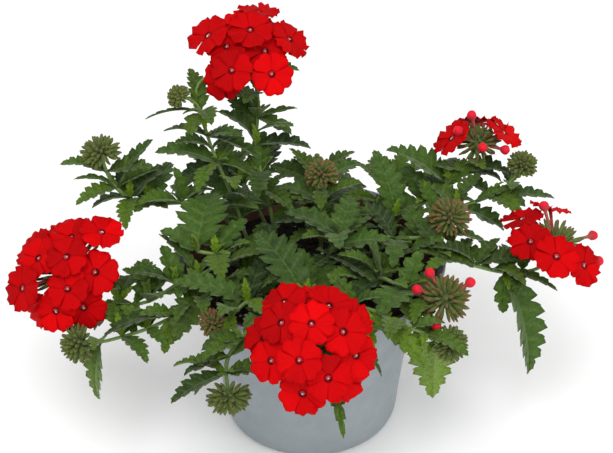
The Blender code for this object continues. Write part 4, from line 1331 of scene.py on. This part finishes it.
@dataclass
class LeafyShoot:
    """A leafy shoot: its square stem, the leaves that the solid has and the small ones between."""

    name: str
    shoot: Shoot
    room: Room
    stem_step: float = 3.5 * MM
    stem_sides: int = 8
    side_stem_scale: float = 0.7
    filler_step: float = 9 * MM
    filler_tries: int = 3

    # The shoot's materials, in the order of the faces' numbers
    LEAF, STEM = 0, 1
    # A stem's radius against its solid's, how much thinner its tip is, and how square it is
    SLIM, TAPER, SQUARE = 0.95, 0.25, 0.14
    # The seed of the first shoot's first leaf, and how many are kept for each shoot
    FIRST_SEED, SEEDS = 1000, 50
    # A leaf hangs from this far below level, and fully this much lower, in degrees
    HANGS_FROM, HANGS_OVER = 35, 30
    # Leaves shorter than this, in millimetres, are young; how pale those that hang and the young are
    GROWN_LENGTH, PALE_HANGING, PALE_YOUNG = 22, 0.35, 0.35
    # An axil's tiny leaves: the share left out, their length in millimetres, their angle off the
    # leaf and the steepest that they stand, in radians; their width's share of the length, their
    # paleness and the length of their teeth in millimetres
    AXIL_BARE, AXIL_LENGTH, AXIL_TURN, AXIL_STEEPEST = 0.35, (7, 5), (0.5, 0.5), 1.3
    AXIL_WIDTH, AXIL_AGE, AXIL_TOOTH = 0.42, 0.45, 3.2
    # The leaves between: radians from one pair to the next; the least length of a first try, how
    # much less it is at each new one, and how much longer a leaf may be, in millimetres
    FILLER_TURN, FILLER_LENGTH, FILLER_LESS, FILLER_MORE = 2.4, 20, 5, 5
    # Their turn out of line in radians, their rise in degrees, and their width's share of the length
    FILLER_SWING, FILLER_RISE, FILLER_WIDTH = 0.5, (-5, 45), (0.42, 0.12)
    # Their greatest paleness, and the length of their teeth in millimetres
    FILLER_AGE, FILLER_TOOTH = 0.25, 4.2

    def route(self) -> list[Vector]:
        """Find the stem's route, from its foot in the soil to its end or its head's middle.

        Returns:
            The route's points, in metres.
        """
        route = [Vector(point) * MM for point in self.shoot.route]
        foot = route[0].copy()
        foot.z = SOIL_TOP - HOLE_DEPTH + GAP
        route[0].z += COLLAR
        route.insert(0, foot)
        if self.shoot.head:
            route.append(HEADS[self.shoot.head].middle)
        return route

    def build(self, finishes: dict[str, bpy.types.Material]) -> bpy.types.Object:
        """Build the shoot.

        Args:
            finishes: the plant's materials by name.

        Returns:
            The shoot's piece.
        """
        work = Patchwork()
        route = self.route()
        self.add_stem(work, route, 1.0)
        if self.shoot.side:
            side = [Vector(point) * MM for point in self.shoot.side]
            self.add_stem(work, side, self.side_stem_scale)
        number = list(SHOOTS).index(self.name)
        fit = Fit(self.name)
        luck = random.Random(self.name)
        for i, row in enumerate(self.shoot.leaves):
            blade = self.fitted_leaf(fit, route, row, self.FIRST_SEED + self.SEEDS * number + i)
            if blade:
                blade.build(work, self.LEAF)
                self.add_axil(work, blade, luck)
            else:
                LOG.warning("leaf %d of %s wasn't found on its solid", i, self.name)
        self.add_fillers(work, route, luck)
        return work.piece(self.name + "_fine", [finishes["leaf"], finishes["stem"]])

    def add_stem(self, work: Patchwork, route: list[Vector], scale: float) -> None:
        """Add a square stem, thinner towards its tip.

        Args:
            work: the piece's gathered points and faces.
            route: the points that it passes.
            scale: its thickness against a main stem's.
        """
        line = smooth_route(route, self.stem_step)
        last = len(line) - 1
        radii = [self.SLIM * scale * STEM_RADIUS * (1.0 - self.TAPER * i / last)
                 for i in range(last + 1)]
        shape = tube(line, radii, self.stem_sides, self.SQUARE)
        work.add_even(shape, self.STEM, (0.5, 0.5, 0.0, 0.0))

    def fitted_leaf(self, fit: Fit, route: list[Vector], row: tuple[float, ...],
                    seed: int) -> Blade | None:
        """Find where the solid's leaf lies.

        Args:
            fit: the solid's corners.
            route: the shoot's route.
            row: the leaf's route point, compass, rise, length and width.
            seed: the seed of its own draw.

        Returns:
            The leaf, or None where the solid has none.
        """
        at, compass, rise, length, width = row
        hanging = min(max((-rise - self.HANGS_FROM) / self.HANGS_OVER, 0.0), 1.0)
        young = min(max((self.GROWN_LENGTH - length) / self.GROWN_LENGTH, 0.0), 1.0)
        pale = SHOOT_PALENESS.get(self.name, self.PALE_HANGING)
        age = min(1.0, pale * hanging + self.PALE_YOUNG * young)
        for turn, lift, share in LEAF_TURNS:
            blade = Blade(route[int(at) + 1], math.radians(compass + turn), math.radians(rise + lift),
                          length * share * MM, width * share * MM, random.Random(seed), age)
            apex = blade.root + blade.ahead * blade.length
            if abs(fit.off(apex) - LEAF_HALF_THICKNESS) < FIT:
                return blade
        return None

    def add_axil(self, work: Patchwork, blade: Blade, luck: random.Random) -> None:
        """Add the tiny leaves that stand in a leaf's axil.

        Args:
            work: the piece's gathered points and faces.
            blade: the leaf.
            luck: the draw that varies them.
        """
        for side in (-1, 1):
            if luck.random() < self.AXIL_BARE:
                continue
            length = drawn(luck, self.AXIL_LENGTH) * MM
            compass = blade.compass + side * drawn(luck, self.AXIL_TURN)
            rise = blade.rise + self.AXIL_TURN[0] + self.AXIL_TURN[1] * luck.random()
            tiny = Blade(blade.root, compass, min(self.AXIL_STEEPEST, rise), length,
                         self.AXIL_WIDTH * length, random.Random(luck.random()), self.AXIL_AGE,
                         tooth_mm=self.AXIL_TOOTH)
            if self.room.free(self.name, *tiny.outline()):
                tiny.build(work, self.LEAF)

    def add_fillers(self, work: Patchwork, route: list[Vector], luck: random.Random) -> None:
        """Add the small leaves between the solid's, in pairs, each clear of what is placed.

        Args:
            work: the piece's gathered points and faces.
            route: the shoot's route.
            luck: the draw that varies them.
        """
        for i, root in enumerate(smooth_route(route[1:], self.filler_step)[1:-1]):
            turn = self.FILLER_TURN * i + luck.random()
            for side in (0.0, math.pi):
                for tries in range(self.filler_tries):
                    least = self.FILLER_LENGTH - self.FILLER_LESS * tries
                    length = drawn(luck, (least, self.FILLER_MORE)) * MM
                    compass = turn + side + self.FILLER_SWING * luck.random()
                    rise = math.radians(drawn(luck, self.FILLER_RISE))
                    width = drawn(luck, self.FILLER_WIDTH) * length
                    own = random.Random(luck.random())
                    blade = Blade(root, compass, rise, length, width, own,
                                  self.FILLER_AGE * luck.random(), tooth_mm=self.FILLER_TOOTH)
                    points, faces = blade.outline()
                    if self.room.free(self.name, points, faces) and inside_box(points):
                        blade.build(work, self.LEAF)
                        self.room.add(self.name + "_fillers", points, faces)
                        break


def inside_box(points: list[Vector]) -> bool:
    """Whether points lie inside the solids' own box."""
    low, high = CAD_BOX
    return all(low[k] <= point[k] <= high[k] for point in points for k in range(3))


@dataclass
class Pots:
    """The grey cover pot and the brown nursery pot in it."""

    sides: int = 96
    wall_step: float = 4 * MM
    lip_step: int = 30
    sharp_angle: float = math.radians(40)
    # How far under the lip the wall stops and how far in the floor's edge lies, as shares of the
    # wall's thickness
    lip_depth: float = 0.6
    floor_edge: float = 2.0
    # A cup's floor is closed by a tiny ring at its middle
    floor_middle: float = 0.3 * MM
    # The drain holes' directions in radians, their cutter's ends in millimetres, and its sides
    drains: Triple = (0.6, 2.7, 4.8)
    drain_ends: Pair = (0.5, 6.0)
    drain_sides: int = 32
    # Cover pot wall, outside, as (share of the rim's radius, share of the height)
    outside: tuple[Pair, ...] = (
        (0.608, 0.0), (0.655, 0.013), (0.671, 0.044), (0.703, 0.27), (0.748, 0.5), (0.83, 0.715),
        (0.93, 0.89), (0.992, 0.98), (0.997, 1.0))
    # Nursery pot wall, outside, as (radius, height above the pot's own foot), in millimetres
    liner: tuple[Pair, ...] = (
        (34.0, 0.0), (36.0, 1.5), (49.3, 60.0), (51.0, 65.5), (53.0, 68.0), (59.2, 84.0),
        (60.2, 85.6), (60.2, 86.7))

    def curve(self, pairs: list[Pair]) -> list[Pair]:
        """Round an outline with a smooth curve through its pairs."""
        line = smooth_route([Vector((r, 0.0, h)) for r, h in pairs], self.wall_step)
        return [(p.x, p.z) for p in line]

    def cup(self, name: str, outside: list[Pair], wall: float, floor: float,
            finish: bpy.types.Material) -> bpy.types.Object:
        """Turn a cup with a rounded lip.

        Args:
            name: the piece's name.
            outside: its outer wall from foot to lip, as radius and height.
            wall: how thick it is.
            floor: the height of its floor.
            finish: its material.

        Returns:
            The piece.
        """
        top_radius, top = outside[-1]
        half = 0.5 * wall
        turns = [math.radians(degrees) for degrees in range(0, 181, self.lip_step)]
        lip = [(top_radius - half + half * math.cos(t), top - half + half * math.sin(t))
               for t in turns]
        inner = [(radius - wall, height) for radius, height in outside
                 if floor + wall < height < top - wall][::-1]
        outline = [(self.floor_middle, outside[0][1])]
        outline += [p for p in outside if p[1] < top - self.lip_depth * wall] + lip + inner
        outline += [(outside[1][0] - self.floor_edge * wall, floor), (self.floor_middle, floor)]
        work = Patchwork()
        work.add_even(turned(outline, self.sides), 0)
        item = work.piece(name, [finish])
        item.data.set_sharp_from_angle(angle=self.sharp_angle)
        return item

    def build(self, grey: bpy.types.Material, brown: bpy.types.Material) -> None:
        """Build both pots and let them stand for their solids.

        Args:
            grey: the cover pot's material.
            brown: the nursery pot's material.
        """
        wall = self.curve([(s * RIM_RADIUS, h * POT_HEIGHT) for s, h in self.outside[1:]])
        wall.insert(0, (self.outside[0][0] * RIM_RADIUS, 0.0))
        cover = self.cup("cover_pot_fine", wall, POT_WALL, POT_WALL, grey)
        dress(cover, "cover_pot")
        floor = POT_WALL + GAP
        side = [(r * MM, floor + h * MM) for r, h in self.liner]
        liner = self.cup("nursery_pot_fine", side, LINER_WALL, floor + LINER_WALL, brown)
        self.drill(liner)
        dress(liner, "nursery_pot")

    def drill(self, liner: bpy.types.Object) -> None:
        """Cut the nursery pot's three drain holes.

        Args:
            liner: the nursery pot's piece.
        """
        work = Patchwork()
        for angle in self.drains:
            middle = Vector((DRAIN_PLACE * math.cos(angle), DRAIN_PLACE * math.sin(angle), 0.0))
            line = [middle + Vector((0.0, 0.0, height * MM)) for height in self.drain_ends]
            work.add_even(tube(line, [DRAIN_RADIUS] * 2, self.drain_sides), 0)
        cutter = work.piece("drain_holes", [liner.data.materials[0]])
        step = liner.modifiers.new("drains", "BOOLEAN")
        step.operation = "DIFFERENCE"
        step.solver = "EXACT"
        step.object = cutter
        graph = bpy.context.evaluated_depsgraph_get()
        done = bpy.data.meshes.new_from_object(liner.evaluated_get(graph))
        liner.modifiers.clear()
        liner.data = done
        bpy.data.objects.remove(cutter, do_unlink=True)


@dataclass
class PottingSoil:
    """The peat: an uneven top with loose crumbs, fibres and a few white grains."""

    rings: int = 26
    spokes: int = 72
    crumbs: int = 1300
    white_grains: int = 26
    fibres: int = 70
    # The height and the width of the top's swells and of its grit, and how far it is raised in all
    swell: float = 0.9 * MM
    swell_width: float = 6 * MM
    grit: float = 0.35 * MM
    grit_width: float = 1.6 * MM
    lift: float = 0.3 * MM
    # Kept free at the pot's wall, and the radius of the ring in the top's middle
    clearance: float = 0.2 * MM
    # The underside is closed by a tiny ring at its middle
    floor_middle: float = 0.3 * MM
    seed: int = 7

    # The soil's materials, in the order of the faces' numbers
    PEAT, WHITE = 0, 1
    # Outline shares: the foot's radius, and the radius and the height of a point up its side
    FOOT, SHOULDER, SHOULDER_HEIGHT = 0.6, 0.88, 0.8
    # A point above this height belongs to the top
    TOP_FROM = SOIL_TOP - 1e-6
    # Radii in millimetres: a white grain, and a crumb, mostly small
    GRAIN, CRUMB = 0.9, (0.45, 1.3)
    # A crumb's rings, the points in each, how pinched its ends are, how uneven and how flat it is,
    # and about a full turn that it is spun by at most
    LEVELS, CORNERS, PINCH, ROUGH, FLAT = (-1.0, -0.5, 0.4, 1.0), 5, 0.02, (0.7, 0.5), 0.7
    SPIN = 6.28
    # Millimetres kept free at the edge by crumbs and, beyond that, by fibres
    EDGE, FIBRE_EDGE = 2, 5
    # A fibre in millimetres: its length, its radius, its height over the top and how far it winds
    FIBRE_LENGTH, FIBRE_RADIUS, FIBRE_HEIGHT, FIBRE_BEND = (3, 4), 0.16, 0.5, 0.6
    FIBRE_STOPS, FIBRE_WAVE, FIBRE_SIDES = (0.0, 0.33, 0.66, 1.0), 4, 4

    def height(self, x: float, y: float) -> float:
        """Find the uneven top's height.

        Args:
            x: the place across.
            y: the place along.

        Returns:
            The height there.
        """
        wide = noise.noise(Vector((x, y, 0.0)) / self.swell_width)
        fine = noise.noise(Vector((x, y, 0.0)) / self.grit_width)
        return SOIL_TOP + self.lift + self.swell * wide + self.grit * fine

    def build(self, peat: bpy.types.Material, white: bpy.types.Material) -> None:
        """Build the soil and let it stand for its solid.

        Args:
            peat: the soil's material.
            white: the white grains' material.
        """
        low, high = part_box("potting_soil")
        radius = high.x - self.clearance
        luck = random.Random(self.seed)
        work = Patchwork()
        outline = [(self.floor_middle, low.z), (self.FOOT * radius, low.z),
                   (self.SHOULDER * radius, self.SHOULDER_HEIGHT * SOIL_TOP)]
        outline += [(radius * (1 - i / self.rings) + self.clearance, SOIL_TOP)
                    for i in range(self.rings + 1)]
        points, faces, places = turned(outline, self.spokes)
        points = [Vector((p.x, p.y, self.height(p.x, p.y))) if p.z > self.TOP_FROM else p
                  for p in points]
        work.add_even((points, faces, places), self.PEAT)
        for _ in range(self.crumbs):
            size = (self.CRUMB[0] + self.CRUMB[1] * luck.random() ** 3) * MM
            self.add_crumb(work, luck, radius, size, self.PEAT)
        for _ in range(self.white_grains):
            self.add_crumb(work, luck, radius, self.GRAIN * MM, self.WHITE)
        for _ in range(self.fibres):
            self.add_fibre(work, luck, radius)
        item = work.piece("potting_soil_fine", [peat, white])
        dress(item, "potting_soil")

    def spot(self, luck: random.Random, radius: float) -> Vector:
        """Draw a place on the top.

        Args:
            luck: the draw that varies it.
            radius: the radius that it stays inside.

        Returns:
            The place.
        """
        out = (radius - self.EDGE * MM) * math.sqrt(luck.random())
        turn = 2 * math.pi * luck.random()
        x, y = out * math.cos(turn), out * math.sin(turn)
        return Vector((x, y, self.height(x, y)))

    def add_crumb(self, work: Patchwork, luck: random.Random, radius: float, size: float,
                  finish: int) -> None:
        """Add one uneven crumb.

        Args:
            work: the piece's gathered points and faces.
            luck: the draw that varies it.
            radius: the soil's radius.
            size: the crumb's radius.
            finish: the number of its material.
        """
        middle = self.spot(luck, radius)
        spin = Matrix.Rotation(self.SPIN * luck.random(), 3, "Z")
        turn = spin @ Matrix.Rotation(luck.random(), 3, "X")
        points = []
        for level in self.LEVELS:
            spread = math.sqrt(max(self.PINCH, 1 - level * level))
            for i in range(self.CORNERS):
                angle = 2 * math.pi * i / self.CORNERS + level
                rough = size * drawn(luck, self.ROUGH)
                points.append(middle + turn @ Vector((rough * spread * math.cos(angle),
                                                      rough * spread * math.sin(angle),
                                                      self.FLAT * size * level)))
        faces = rings_to_faces(len(self.LEVELS), self.CORNERS)
        work.add_even((points, faces, [(0.0, 0.0, 0.0)] * len(points)), finish)

    def add_fibre(self, work: Patchwork, luck: random.Random, radius: float) -> None:
        """Add one thin peat fibre lying on the top.

        Args:
            work: the piece's gathered points and faces.
            luck: the draw that varies it.
            radius: the soil's radius.
        """
        start = self.spot(luck, radius - self.FIBRE_EDGE * MM)
        turn = 2 * math.pi * luck.random()
        way = Vector((math.cos(turn), math.sin(turn), 0.0))
        cross = Vector((-way.y, way.x, 0.0))
        length = drawn(luck, self.FIBRE_LENGTH) * MM
        line = [start + way * length * t
                + cross * self.FIBRE_BEND * MM * math.sin(self.FIBRE_WAVE * t)
                + Vector((0.0, 0.0, self.FIBRE_HEIGHT * MM)) for t in self.FIBRE_STOPS]
        shape = tube(line, [self.FIBRE_RADIUS * MM] * len(line), self.FIBRE_SIDES)
        work.add_even(shape, self.PEAT, (1.0, 0.0, 0.0, 0.0))


@dataclass
class Studio:
    """The photograph's viewing angle, a pale floor and soft light."""

    eye_mm: Triple = (-2.2, -587.3, 511.9)
    tilt_degrees: float = 55.5
    lens: float = 88.1
    sensor: float = 36.0
    near: float = 0.01
    sky: float = 0.8
    floor_side: float = 3.0
    floor_height: float = -0.0003
    aim: Triple = (0.0, 0.0, 0.08)

    # Each lamp's name, its place in metres, its side in metres and its power in watts
    LAMPS = (("key_lamp", (-0.2, -0.8, 1.5), 0.8, 12.0), ("fill_lamp", (0.9, -1.0, 0.9), 1.0, 6.0))

    def build(self, floor_finish: bpy.types.Material) -> None:
        """Build the camera, the floor, the sky and the lamps.

        Args:
            floor_finish: the floor's material.
        """
        scene = bpy.context.scene
        scene.view_settings.view_transform = "Standard"
        lens = bpy.data.cameras.new("camera")
        lens.sensor_width = self.sensor
        lens.lens = self.lens
        lens.clip_start = self.near
        camera = bpy.data.objects.new("camera", lens)
        camera.location = Vector(self.eye_mm) * MM
        camera.rotation_euler = (math.radians(self.tilt_degrees), 0.0, 0.0)
        scene.collection.objects.link(camera)
        scene.camera = camera
        world = bpy.data.worlds.new("studio_sky")
        world.use_nodes = True
        sky = world.node_tree.nodes["Background"]
        sky.inputs["Color"].default_value = (1.0, 1.0, 1.0, 1.0)
        sky.inputs["Strength"].default_value = self.sky
        scene.world = world
        for name, place, size, power in self.LAMPS:
            self.lamp(name, place, size, power)
        half = 0.5 * self.floor_side
        mesh = bpy.data.meshes.new("floor")
        corners = [(half * x, half * y, self.floor_height)
                   for x, y in ((-1, -1), (1, -1), (1, 1), (-1, 1))]
        mesh.from_pydata(corners, [], [(0, 1, 2, 3)])
        mesh.materials.append(floor_finish)
        floor = bpy.data.objects.new("floor", mesh)
        scene.collection.objects.link(floor)

    def lamp(self, name: str, place: Triple, size: float, power: float) -> None:
        """Hang one soft lamp aimed at the plant.

        Args:
            name: its name.
            place: where it hangs, in metres.
            size: its side, in metres.
            power: its power, in watts.
        """
        light = bpy.data.lights.new(name, "AREA")
        light.size = size
        light.energy = power
        lamp = bpy.data.objects.new(name, light)
        lamp.location = place
        aim = Vector(self.aim) - Vector(place)
        lamp.rotation_euler = aim.to_track_quat("-Z", "Y").to_euler()
        bpy.context.scene.collection.objects.link(lamp)


def plant_finishes() -> dict[str, bpy.types.Material]:
    """Make the plant's materials.

    Returns:
        The materials by name.
    """
    return {
        "leaf": LeafBlade().make(),
        "stem": HairyTube("square_hairy_stem", "#5d6b3a", "#66823f", "#7a8f4c").make(),
        "calyx": HairyTube("hairy_calyx", "#72803a", "#52642a", "#84402c", 0.1).make(),
        "petal": VelvetPetal().make(),
        "corolla_tube": HairyTube("corolla_tube", "#b04a50", "#c02a34", "#8c0810").make(),
        "eye": HairyTube("pale_hairy_eye", "#c07a70", "#d8a898", "#d8a898").make(),
        "bud": HairyTube("velvet_bud", "#8e5a44", "#c41430", "#da0820", 0.05).make(),
    }


def main() -> None:
    """Build the studio, the pots, the soil, the flower heads and the shoots."""
    logging.basicConfig(level=logging.INFO, format="%(message)s")
    Studio().build(PaintedFloor().make())
    grey = MouldedPolypropylene("moulded_grey_polypropylene", "#8f979c", "#868e93", 0.55).make()
    brown = MouldedPolypropylene("thin_brown_polypropylene", "#6b4230", "#5c3a2b", 0.45).make()
    white = MouldedPolypropylene("expanded_white_grain", "#d9d6cc", "#b8b4a6", 0.85).make()
    Pots().build(grey, brown)
    PottingSoil().build(DampPeat("damp_milled_peat", "#17120e", "#3a2a1e").make(), white)
    finishes = plant_finishes()
    for name, head in HEADS.items():
        item = FlowerHead(name, head).build(finishes)
        dress(item, name)
    room = Room()
    for name, shoot in SHOOTS.items():
        item = LeafyShoot(name, shoot, room).build(finishes)
        dress(item, name)


if __name__ == "__main__":
    main()
